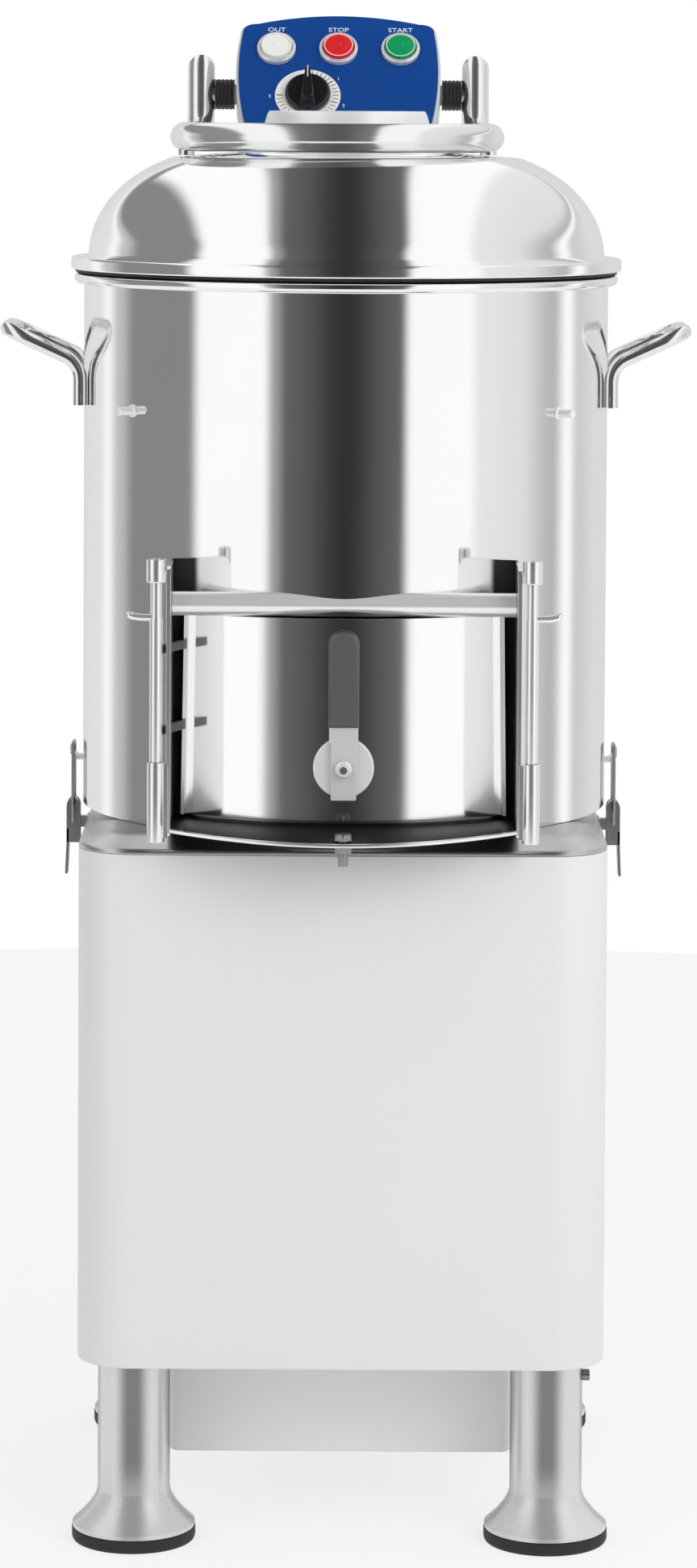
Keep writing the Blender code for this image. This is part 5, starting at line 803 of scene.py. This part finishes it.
# Side handles. Bent stainless bars, welded by their feet to the drum and rising outwards in a flat loop.
HANDLE_RADIUS, HANDLE_HALF, TIP_X, TIP_Z = 0.005, 0.040, 0.2446, 0.8465
HANDLE_FOOT, HANDLE_BEND = 0.792, 0.822
foot_x = math.sqrt(DRUM_RADIUS ** 2 - HANDLE_HALF ** 2) + HANDLE_RADIUS + 0.0003
half_arm = np.array([
    (foot_x, HANDLE_HALF, HANDLE_FOOT), (foot_x, HANDLE_HALF, HANDLE_BEND), (TIP_X, HANDLE_HALF, TIP_Z)
])
arm = np.concatenate([half_arm, half_arm[::-1] * (1, -1, 1)])
arm = rounded(arm, [0, 0.012, 0.020, 0.020, 0.012, 0], steps=12)
HANDLE_STEEL = brushed_steel("handle_bright_steel", 0.84, 0.12, 0.02, depth=0.0000002, metal=0.95)
for name, side in SIDES:
    bar = swept(arm * (side, 1, 1), HANDLE_RADIUS, 32)
    piece("bent_handle_" + name, [bar], HANDLE_STEEL, "satin_steel", "side_handle_" + name)

# Side latches. A small plate on each side of the cabinet carries a forked lever, and the lever pulls a
# wire loop down over a keeper on the drum. Plate and lever are pressed stainless sheet.
LATCH_X, LATCH_Z, LATCH_LOW, LATCH_HIGH, LATCH_SEAT = 0.197, 0.498, 0.486, 0.5430, 0.1873
WIRE_HALF, WIRE_END, WIRE_RADIUS = 0.009, 0.0065, 0.0013
PIN_RADIUS, PIN_HALF, FORK_Y, FORK_HALF, BLOCK_HALF = 0.0022, 0.0074, 0.0052, 0.0062, 0.0037
LATCH_STEEL = brushed_steel("latch_plated_steel", 0.36, 0.26, 0.10, (1, 1, 0.2), metal=0.9)
wire_line = rounded([
    (0, WIRE_END, LATCH_LOW), (0, WIRE_HALF, LATCH_LOW), (0, WIRE_HALF, LATCH_HIGH),
    (0, -WIRE_HALF, LATCH_HIGH), (0, -WIRE_HALF, LATCH_LOW), (0, -WIRE_END, LATCH_LOW),
], [0, 0.0012, 0.0030, 0.0030, 0.0012, 0], steps=7)
plate_line = rounded(rectangle(-0.011, 0.011, 0.446, 0.4897), [0.005, 0.005, 0, 0], closed=True)
block_line = rounded([
    (0.1860, 0.481), (0.2020, 0.481), (0.2020, 0.4985), (0.1995, 0.5024), (0.1945, 0.5024), (0.1920, 0.4985),
    (0.1920, 0.4890), (0.1860, 0.4890),
], [0, 0.001, 0.002, 0.002, 0.002, 0.002, 0.001, 0], closed=True)
cheek_line = rounded([
    (-0.005, 0.470), (0.005, 0.470), (0.005, 0.498), (0.0035, 0.5018), (0, 0.503), (-0.0035, 0.5018),
    (-0.005, 0.498),
], [0, 0, 0.002, 0.002, 0.002, 0.002, 0.002], closed=True)
web_line = rounded([
    (0.202, 0.4804), (0.200, 0.4804), (0.200, 0.470), (0.201, 0.447), (0.203, 0.447), (0.202, 0.470),
], [0, 0, 0.006, 0.0008, 0.0008, 0.006], closed=True)
for name, side in SIDES:
    x = side * LATCH_X
    base = [
        plate(plate_line, *sorted((side * 0.1853, side * LATCH_SEAT)), across=(0, 1, 0)),
        plate(block_line * (side, 1), -BLOCK_HALF, BLOCK_HALF),
        lathe([(PIN_RADIUS, -PIN_HALF), (PIN_RADIUS, PIN_HALF)], (x, 0, LATCH_Z), BACKWARD),
    ]
    base += [lathe(SCREW_HEAD, (side * LATCH_SEAT, 0, z), (side, 0, 0)) for z in (0.4535, 0.470)]
    piece("latch_plate_" + name, base, LATCH_STEEL, "satin_steel", "latch_base_" + name, bevel=0.0003)
    fork = [plate(cheek_line + (x, 0), y - 0.001, y + 0.001) for y in (-FORK_Y, FORK_Y)]
    fork.append(plate(web_line * (side, 1), -FORK_HALF, FORK_HALF))
    lever, loop = "latch_lever_" + name, "latch_wire_" + name
    piece("latch_fork_" + name, fork, LATCH_STEEL, "satin_steel", lever, body=lever, bevel=0.0003)
    bent_wire = swept(wire_line + (x, 0, 0), WIRE_RADIUS, 16)
    piece("latch_loop_" + name, [bent_wire], LATCH_STEEL, "satin_steel", loop, body=loop)

# Services at the back. The drain leaves the drum's floor, turns through the cabinet's rear wall, and ends in
# a short stub for a hose. A nipple lets water in near the drum's mouth, and a gland takes the mains cable.
DRAIN_X, DRAIN_Y, DRAIN_Z, DRAIN_TOP, DRAIN_END = -0.110, 0.110, 0.440, 0.5020, 0.250
DRAIN_RADIUS, DRAIN_BORE, DRAIN_BEND, HOSE_RINGS = 0.020, 0.018, 0.036, (0.228, 0.238)
INLET_BEARING, INLET_START, INLET_Z, INLET_LENGTH = math.radians(40), 0.185, 0.845, 0.040
INLET_RADIUS, INLET_BORE, BARBS_AT = 0.008, 0.0055, (0.026, 0.0325)
GLAND_X, GLAND_Z, GLAND_FLATS = 0.110, 0.440, 0.012
drain_line = [(DRAIN_X, DRAIN_Y, DRAIN_TOP), (DRAIN_X, DRAIN_Y, DRAIN_Z), (DRAIN_X, DRAIN_END, DRAIN_Z)]
drain_line = rounded(drain_line, [0, DRAIN_BEND, 0], steps=16)


def pipe(path, radius, bore, sides=40):
    """A pipe along a path: its outer skin goes out, its bore comes back, and the two join at both mouths."""
    outer, inner = (swept(path, reach, sides)[0].reshape(len(path), sides, 3) for reach in (radius, bore))
    return skinned(np.concatenate([outer, inner[::-1]]), ring=True)


ring_line = rounded([(0.0195, 0), (0.0212, 0.0020), (0.0195, 0.0040)], 0.0006)
drain = [pipe(drain_line, DRAIN_RADIUS, DRAIN_BORE)]
drain += [lathe(ring_line, (DRAIN_X, y, DRAIN_Z), BACKWARD, 40, ring=True) for y in HOSE_RINGS]
piece("drain_stub", drain, SATIN, "satin_steel", "drain_pipe")

inlet_out = np.array((math.sin(INLET_BEARING), math.cos(INLET_BEARING), 0))
inlet_start = inlet_out * INLET_START + (0, 0, INLET_Z)
nipple_line = inlet_start + np.outer(np.linspace(0, INLET_LENGTH, 3), inlet_out)
collar = rounded(rectangle(0.0075, 0.014, 0.0058, 0.0088), [0, 0.001, 0.001, 0])
nipple = [
    pipe(nipple_line, INLET_RADIUS, INLET_BORE, 32), lathe(collar, inlet_start, inlet_out, 40, ring=True)
]
for at in BARBS_AT:
    barb = [(0.0077, at), (0.0092, at + 0.0006), (0.0077, at + 0.0050)]
    nipple.append(lathe(barb, inlet_start, inlet_out, 32, ring=True))
piece("water_nipple", nipple, SATIN, "satin_steel", "water_inlet")

gland = standing(hex_bar(GLAND_FLATS, [
    (1, 0.0128, 0), (1, 0.0136, 0.0008), (1, 0.0136, 0.0062), (1, 0.0126, 0.0070), (0, 0.0105, 0.0070),
    (0, 0.0100, 0.0150), (0, 0.0088, 0.0176), (0, 0.0070, 0.0180), (0, 0.0046, 0.0176), (0, 0.0045, 0.0010),
]), (GLAND_X, CABINET_REAR, GLAND_Z), BACKWARD)
gland_plastic = painted("gland_black_plastic", (0.028, 0.028, 0.030), 0.42, 0.00001)
piece("mains_gland", [gland], gland_plastic, "black_plastic", "cable_gland")

# Post. A folded channel of painted sheet stands on the cabinet's back wall and holds up the control head.
HEAD_DEPTH, LEAN = 0.0355, math.radians(38)
HEAD_X, HEAD_Y, HEAD_Z = -0.007, 0.150, 0.985
LEAN_UP = np.array((0, math.sin(LEAN), math.cos(LEAN)))
LEAN_OUT = np.array((0, -math.cos(LEAN), math.sin(LEAN)))
head_corner = np.array((HEAD_X, HEAD_Y, HEAD_Z))
post_back = head_corner - LEAN_OUT * HEAD_DEPTH
POST_HALF, POST_REAR, POST_SHEET = 0.045, 0.233, 0.0025


def channel(front, z=None):
    """The post's section, a U open to the front, at a height or cut to the slope under the head."""
    half, rear = POST_HALF - POST_SHEET, POST_REAR - POST_SHEET
    flat = rounded([
        (-POST_HALF, front), (-half, front), (-half, rear), (half, rear), (half, front), (POST_HALF, front),
        (POST_HALF, POST_REAR), (-POST_HALF, POST_REAR),
    ], [0, 0, 0.002, 0.002, 0, 0, 0.004, 0.004], closed=True)
    under = post_back[2] + (flat[:, 1] - post_back[1]) / math.tan(LEAN) - 0.0006
    return lifted(flat + (HEAD_X, 0), under if z is None else z)


post = skinned(np.array([
    channel(CABINET_REAR, 0.414), channel(CABINET_REAR, 0.4897), channel(0.206, 0.5037), channel(0.206)
]))
piece("folded_post", [post], CABINET_PAINT, "cabinet_paint", "control_post", bevel=0.0005)

# Control head. A moulded grey housing leans back on the post, closed by a blue front plate that is
# screen-printed in white. Short bosses at its sides hold the pins and black bushes of the lid's bail.
HALF_WIDTHS = ((0, 0.0705), (0.064, 0.0783), (0.098, 0.0755))
ARCH_U, ARCH_V, ARCH_TOP = 0.0640, 0.1085, 0.1165


def on_head(points, u=0.0, v=0.0, out=0.0):
    """Points (u, v, out) of the leaning front in the machine's frame: corner + u x + v up + w out."""
    return head_corner + (np.asarray(points, float) + (u, v, out)) @ np.array([(1, 0, 0), LEAN_UP, LEAN_OUT])


def head_outline(inset):
    """The head's front: sides on a parabola through three half widths, shoulders eased, the top an arch."""
    (_, width), (low, low_width), (high, high_width) = HALF_WIDTHS
    v = np.linspace(inset, high, 15)
    half = (
        width * (v - low) * (v - high) / (low * high) + low_width * v * (v - high) / (low * (low - high))
        + high_width * v * (v - low) / (high * (high - low))
    ) - inset
    t = np.linspace(0, 1, 9)[1:]
    arch_u, arch_v = ARCH_U - inset, ARCH_V - inset
    shoulder_u = eased(t, half[-1], high_width - inset, arch_u)
    shoulder_v = eased(t, v[-1], arch_v, arch_v)
    top_u = arch_u * (1 - np.linspace(0, 1, 15)[1:])
    top_v = arch_v + (ARCH_TOP - inset - arch_v) * (1 - (top_u / arch_u) ** 2)
    right = np.stack([np.concatenate([half, shoulder_u, top_u]), np.concatenate([v, shoulder_v, top_v])], 1)
    return np.concatenate([right, (right[:-1] * (-1, 1))[::-1]])


def head_layer(levels):
    """The head's outline at several (inset, out) levels, skinned."""
    return skinned(np.array([on_head(lifted(head_outline(inset), out)) for inset, out in levels]))


HOUSING_PLASTIC = painted("head_housing_plastic", (0.70, 0.71, 0.72), 0.38, 0.00001)
housing = [head_layer([
    (0.0020, -HEAD_DEPTH), (0.0006, -HEAD_DEPTH + 0.0006), (0, -HEAD_DEPTH + 0.0022), (0, -0.0016),
    (0.0005, -0.0004), (0.0016, 0),
])]
HINGE_Y, HINGE_Z = 0.212, 1.016
HINGE_AT = (HEAD_X, HINGE_Y, HINGE_Z)
hub_line = [(0.008, 0.0675), (0.008, 0.0790), (0.0075, 0.0795)]
housing += [lathe(hub_line, HINGE_AT, (side, 0, 0), 40) for name, side in SIDES]
piece("head_housing", housing, HOUSING_PLASTIC, "head_housing", "control_box")

blue, wire = material_of("blue_front_plate", Specular_IOR_Level=0.25)
grain = streaks(wire, 800, (0.08, 1, 1))
tint = blended(streaks(wire, 9), (0.0008, 0.052, 0.275, 1), (0.0012, 0.066, 0.325, 1))
wire.finish(0.000008, Base_Color=tint, Roughness=0.34 + (grain - 0.5) * 0.12, Height=grain)
front_plate = head_layer([(0.0020, 0.0003), (0.0020, 0.0023), (0.0024, 0.0028)])
piece("blue_front", [front_plate], blue, "panel_blue", "control_panel")

BUSH_START, BUSH_END, BUSH_BORE, RIB_PITCH = 0.0798, 0.0947, 0.0066, 0.00298
ribs = np.linspace(BUSH_START, BUSH_END, 41)
bush_line = np.concatenate([
    [(BUSH_BORE, BUSH_START)],
    np.stack([0.0115 + 0.0003 * np.cos((ribs - BUSH_START) * math.tau / RIB_PITCH), ribs], 1),
    [(BUSH_BORE, BUSH_END)],
])
bush_black = painted("bush_black_plastic", (0.008, 0.008, 0.009), 0.55, 0.00001)
for name, side in SIDES:
    bush = lathe(bush_line, HINGE_AT, (side, 0, 0), 48, ring=True)
    piece("ribbed_bush_" + name, [bush], bush_black, "black_plastic", "hinge_bush_" + name)

# Print. The words over the buttons and the numbers round the dial stand a little proud of the front plate.
FACE = 0.0031
PRINT_START, PRINT_HEIGHT = FACE - 0.0003, 0.0002


def lettering(words, size, u, v, stretch=1):
    """Raised print: a word made solid, centred on (u, v) of the front plate and turned to face the user."""
    curve = bpy.data.curves.new("print", "FONT")
    curve.body = words
    curve.size = size
    curve.align_x, curve.align_y = "CENTER", "CENTER"
    curve.extrude = PRINT_HEIGHT / 2
    curve.resolution_u = 3
    maker = linked("print", curve)
    bpy.context.view_layer.update()
    flat = bpy.data.meshes.new_from_object(maker.evaluated_get(bpy.context.evaluated_depsgraph_get()))
    points = np.empty(len(flat.vertices) * 3, np.float32)
    flat.vertices.foreach_get("co", points)
    faces = [list(face.vertices) for face in flat.polygons]
    bpy.data.objects.remove(maker)
    bpy.data.curves.remove(curve)
    bpy.data.meshes.remove(flat)
    return on_head(points.reshape(-1, 3) * (stretch, 1, 1), u, v, PRINT_START + PRINT_HEIGHT / 2), faces


# One white for the print and the knob's mark, which are printed, and for the caps' rims, where it is a
# painted highlight.
white_print_and_highlight, wire = material_of("white_print_and_highlight", Roughness=0.55)
wire.finish(Base_Color=blended(streaks(wire, 2500), (0.86, 0.88, 0.90, 1), (0.95, 0.95, 0.96, 1)))
SPACING, BUTTON_V, WORD_V, WORD_STRETCH = 0.0475, 0.0803, 0.1002, 1.16
DIAL_U, DIAL_V, DIAL_RADIUS, NUMBERS_RADIUS = -0.0232, 0.0355, 0.0250, 0.0288
words = [
    lettering(word, 0.0056, SPACING * (index - 1), WORD_V, WORD_STRETCH)
    for index, word in enumerate(("OUT", "STOP", "START"))
]
for number in range(6):
    at = math.radians(54 * number)
    u, v = DIAL_U + NUMBERS_RADIUS * math.sin(at), DIAL_V + NUMBERS_RADIUS * math.cos(at)
    words.append(lettering(str(number), 0.0040, u, v))
piece("front_print", words, white_print_and_highlight, "dial_white")

# Push-buttons. Three caps, white, red and green, each with a thin white rim, which is a painted highlight of
# its raised edge, and a fine pip at its middle, in a bright bezel with two fine rings.
BUTTONS = (
    ("out", "cap_white", (0.95, 0.95, 0.94)),
    ("stop", "cap_red", (0.80, 0.015, 0.022)),
    ("start", "cap_green", (0.0, 0.36, 0.125)),
)
CAP_CROWN, CROWN_HIGH, CROWN_FALL, PIP = 0.0105, 0.0070, 0.0009, 0.0004


def facing(shape, u, v, out=FACE):
    """A shape made about the vertical axis, laid on the front plate at (u, v)."""
    return on_head(shape[0], u, v, out), shape[1]


bezel_steel = brushed_steel("bezel_bright", 0.95, 0.12, 0.04, depth=0.0000005, metal=0.5)
bezel_line = rounded([
    (0.0123, 0), (0.0148, 0), (0.0148, 0.0036), (0.0141, 0.0043), (0.0137, 0.0036), (0.0132, 0.0050),
    (0.0125, 0.0050), (0.0123, 0.0044),
], 0.0003, steps=4, closed=True)
crown_radius = np.linspace(0.0002, CAP_CROWN, 12)
crown = CROWN_HIGH - CROWN_FALL * (crown_radius / CAP_CROWN) ** 2
crown[:2] += PIP
cap_line = np.concatenate([
    [(0.0116, 0.0032), (0.0119, 0.0034), (0.0119, 0.0062), (0.0114, 0.0070), (0.0109, 0.0070)],
    np.stack([crown_radius, crown], 1)[::-1],
])
highlight_rim_line = rounded(rectangle(0.0104, 0.0110, 0.0060, 0.00725), 0.0002, closed=True)
for index, (name, slot, color) in enumerate(BUTTONS):
    u = SPACING * (index - 1)
    bezel = facing(turned(bezel_line, sides=72, ring=True), u, BUTTON_V)
    piece("bright_bezel_" + name, [bezel], bezel_steel, "bezel", "bezel_" + name)
    gloss = {"Roughness": 0.22, "Coat_Weight": 0.5, "Coat_Roughness": 0.08}
    cap_plastic, wire = material_of("cap_plastic_" + name, **gloss)
    wire.finish(Base_Color=blended(streaks(wire, 60), (*[level * 0.93 for level in color], 1), (*color, 1)))
    cap = facing(turned(cap_line, sides=72), u, BUTTON_V)
    piece("push_cap_" + name, [cap], cap_plastic, slot, "button_" + name, body="button_" + name)
    # The white rim is a painted highlight of the cap's raised edge.
    rim = facing(turned(highlight_rim_line, sides=72, ring=True), u, BUTTON_V)
    piece("cap_rim_" + name, [rim], white_print_and_highlight, slot, body="button_" + name)

# Timer. A white scale with black ticks lies under a black knob, whose tapered bar points to the numbers.
# A tick is given by the radius where it starts and half its width. Every sixth is longer and thicker.
TICK, SIXTH_TICK, TICKS_END = (0.0196, 0.00022), (0.0188, 0.00034), 0.0238
scale_white = painted("scale_white", (0.93, 0.93, 0.93), 0.42, 0.000005)
scale = turned([
    (0.0003, 0), (DIAL_RADIUS, 0), (DIAL_RADIUS, 0.0008), (DIAL_RADIUS - 0.0004, 0.0012), (0.0003, 0.0012)
])
piece("timer_scale", [facing(scale, DIAL_U, DIAL_V)], scale_white, "dial_white", "timer_dial")
tick_black = painted("tick_black", (0.02, 0.02, 0.02), 0.5, 0.000002)
ticks = []
for step in range(31):
    at = math.radians(9 * step)
    low, half = TICK if step % 6 else SIXTH_TICK
    spin = np.array([(math.cos(at), -math.sin(at)), (math.sin(at), math.cos(at))])
    tick = plate(rectangle(-half, half, low, TICKS_END) @ spin, 0.0011, 0.00135, up=(0, 1, 0))
    ticks.append(facing(tick, DIAL_U, DIAL_V))
piece("scale_ticks", ticks, tick_black, "dial_white")

KNOB_SEAT = FACE + 0.0015
knob_black = painted("knob_gloss_black", (0.012, 0.012, 0.013), 0.22, 0.000004)
skirt = turned(rounded([
    (0.0003, 0), (0.0170, 0), (0.0175, 0.0012), (0.0172, 0.0050), (0.0160, 0.0062), (0.0003, 0.0066),
], [0, 0.0004, 0.0004, 0.001, 0.002, 0]))
grip_levels = []
for at, width, reach in (
    (0.0050, 1.18, 0.0160), (0.0075, 1.0, 0.0158), (0.0140, 0.86, 0.0155), (0.0170, 0.80, 0.0150),
    (0.0178, 0.66, 0.0140),
):
    toe, waist, head = 0.0056 * width, 0.0056 * width * 0.92, 0.0019 * width
    line = rounded([
        (-toe, -reach), (toe, -reach), (waist, -0.004), (head, reach), (-head, reach), (-waist, -0.004),
    ], [0.003, 0.003, 0.005, 0.001, 0.001, 0.005], closed=True)
    grip_levels.append(lifted(line, at))
mark = plate(rectangle(-0.00035, 0.00035, 0.004, 0.0140), 0.0176, 0.01795, up=(0, 1, 0))
knob = [facing(shape, DIAL_U, DIAL_V, KNOB_SEAT) for shape in (skirt, skinned(np.array(grip_levels)), mark)]
piece("pointer_knob", knob[:2], knob_black, "knob_black", "timer_knob", body="timer_knob")
piece("knob_mark", knob[2:], white_print_and_highlight, "dial_white", body="timer_knob")

# Lid. A spun and polished dome with a rolled flange and an open neck, carried by a bail of thick polished
# tube that hinges on the control head. A rubber ring under the flange keeps the splashes in.
LID_RADIUS, FLANGE_LOW, LID_BASE = 0.1995, 0.8893, 0.8983
DOME_RADIUS, DOME_HEIGHT, DOME_END, FULLNESS = 0.187, 0.072, math.radians(58), 0.62
DOME_SHEET = (0.0019, 0.0016)
LID_STEEL, wire = material_of("lid_polished_steel")
cloud, grain, axes = streaks(wire, 7), streaks(wire, 900), wire.axes()
neck_share = axes[2].between(0.980, 0.985)
tint = blended(cloud, (0.90, 0.90, 0.905, 1), (0.94, 0.94, 0.94, 1))
gloss = 0.085 + neck_share * 0.25 + (grain - 0.5) * 0.05
wire.finish(0.0000008, Base_Color=tint, Metallic=1 - neck_share * 0.75, Roughness=gloss, Height=grain)
rise_turn = np.linspace(math.radians(2), DOME_END, 46)
dome_z = LID_BASE + DOME_HEIGHT * np.sin(rise_turn) / math.sin(DOME_END)
dome = np.stack([DOME_RADIUS * np.cos(rise_turn) ** FULLNESS, dome_z], 1)
flange = rounded([
    (0.1850, FLANGE_LOW), (LID_RADIUS, FLANGE_LOW), (LID_RADIUS, LID_BASE), (0.1885, LID_BASE)
], [0, 0.0016, 0.0026, 0])
neck = rounded([
    (0.088, LID_BASE + 0.0750), (0.080, LID_BASE + 0.0762), (0.062, LID_BASE + 0.0885), (0.058, 1.0015),
    (0.0565, 1.004), (0.054, 1.004),
], [0, 0.004, 0.006, 0.003, 0.0010, 0.001])
outer = np.concatenate([flange, dome, neck])
inner_neck = np.array([(0.0540, 1.000), (0.0585, LID_BASE + 0.0890), (0.0785, LID_BASE + 0.0745)])
inner_dome = dome[::-1] - DOME_SHEET
inner_dome = inner_dome[inner_dome[:, 0] < 0.1825]
skirt = np.array([(0.183, LID_BASE - 0.001), (0.183, 0.8833), (0.185, 0.8833)])
lid = turned(np.concatenate([outer, inner_neck, inner_dome, skirt]), sides=192, ring=True)
piece("polished_lid", [lid], LID_STEEL, "polished_steel", "lid_dome", body="lid")

gasket_line = rounded(rectangle(0.1905, 0.1965, 0.8873, 0.8890), 0.0004, closed=True)
gasket = turned(gasket_line, sides=160, ring=True)
piece("lid_ring_rubber", [gasket], rubber, "rubber", "lid_gasket", body="lid")

BAIL_TUBE, BAIL_RING, BAIL_Z, BAIL_TOP = 0.0104, 0.1107, 0.985, 1.0465
ARM_X, ARM_Y, ARM_BEND, TIP_STEPS, HINGE_PIN = 0.1054, 0.186, 0.026, 10, 0.006
BOSS_RADIUS, BOSS_BEARINGS = 0.006, (-170, -10)
BAIL_STEEL = brushed_steel("bail_bright_steel", 0.88, 0.12, 0.04, depth=0.0000005, metal=0.92)
front_turn = np.linspace(math.pi, math.tau, 65)
ring_line = lifted(polar(BAIL_RING, front_turn), BAIL_Z)
ease = np.linspace(0, math.pi / 2, 15)[1:]
tip = np.linspace(0, 0.98, TIP_STEPS) * math.pi / 2
bend = [(BAIL_RING, 0), (BAIL_RING - 0.0009, 0.05), (ARM_X, 0.12), (ARM_X, ARM_Y)]
bend = rounded(bend, [0, 0.03, 0.03, 0], steps=6)[1:]
upturn = np.stack([ARM_Y + ARM_BEND * np.sin(ease), BAIL_Z + ARM_BEND * (1 - np.cos(ease))], 1)
top = np.stack([np.full(TIP_STEPS, HINGE_Y), BAIL_TOP - BAIL_TUBE + BAIL_TUBE * np.sin(tip)], 1)
arm = np.concatenate([lifted(bend, BAIL_Z), np.insert(np.concatenate([upturn, top]), 0, ARM_X, 1)])
arm_radius = np.concatenate([np.full(len(arm) - TIP_STEPS, BAIL_TUBE), BAIL_TUBE * np.cos(tip)])
line = np.concatenate([(arm * (-1, 1, 1))[::-1], ring_line[1:-1], arm]) + (HEAD_X, 0, 0)
width = np.concatenate([arm_radius[::-1], np.full(len(ring_line) - 2, BAIL_TUBE), arm_radius])
bail = [swept(line, width, 40)]
for bearing in BOSS_BEARINGS:
    center = polar(BAIL_RING, math.radians(bearing), (HEAD_X, 0))
    reach = math.hypot(*center) - BOSS_RADIUS
    low = float(np.interp(reach, outer[::-1, 0], outer[::-1, 1])) + 0.0003
    bail.append(turned([(BOSS_RADIUS, low), (BOSS_RADIUS, BAIL_Z - 0.004)], center, 36))
hinge_pin = [(HINGE_PIN, BUSH_START), (HINGE_PIN, ARM_X)]
bail += [lathe(hinge_pin, HINGE_AT, (side, 0, 0), 32) for name, side in SIDES]
piece("tube_bail", bail, BAIL_STEEL, "polished_steel", "lid_bail", body="lid")

# Works inside the cabinet. The shaft, its bearing and seal, the motor, the pulleys and the belt are seen
# only with the machine open, so their CAD solids stay and get finishes of iron, paint, steel and rubber.
cast_iron = painted("cast_iron_dark", (0.13, 0.13, 0.135), 0.62, 0.00015)
motor_paint = painted("motor_enamel", (0.11, 0.14, 0.17), 0.45, 0.00003)
WORKS = {
    cast_iron: ("bearing_housing", "large_pulley", "motor_pulley"),
    motor_paint: ("motor_body",),
    SATIN: ("main_bearing", "main_shaft", "motor_shaft"),
    rubber: ("shaft_seal", "v_belt"),
}
for finish, names in WORKS.items():
    for name in names:
        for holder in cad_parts[name].material_slots:
            holder.material = finish
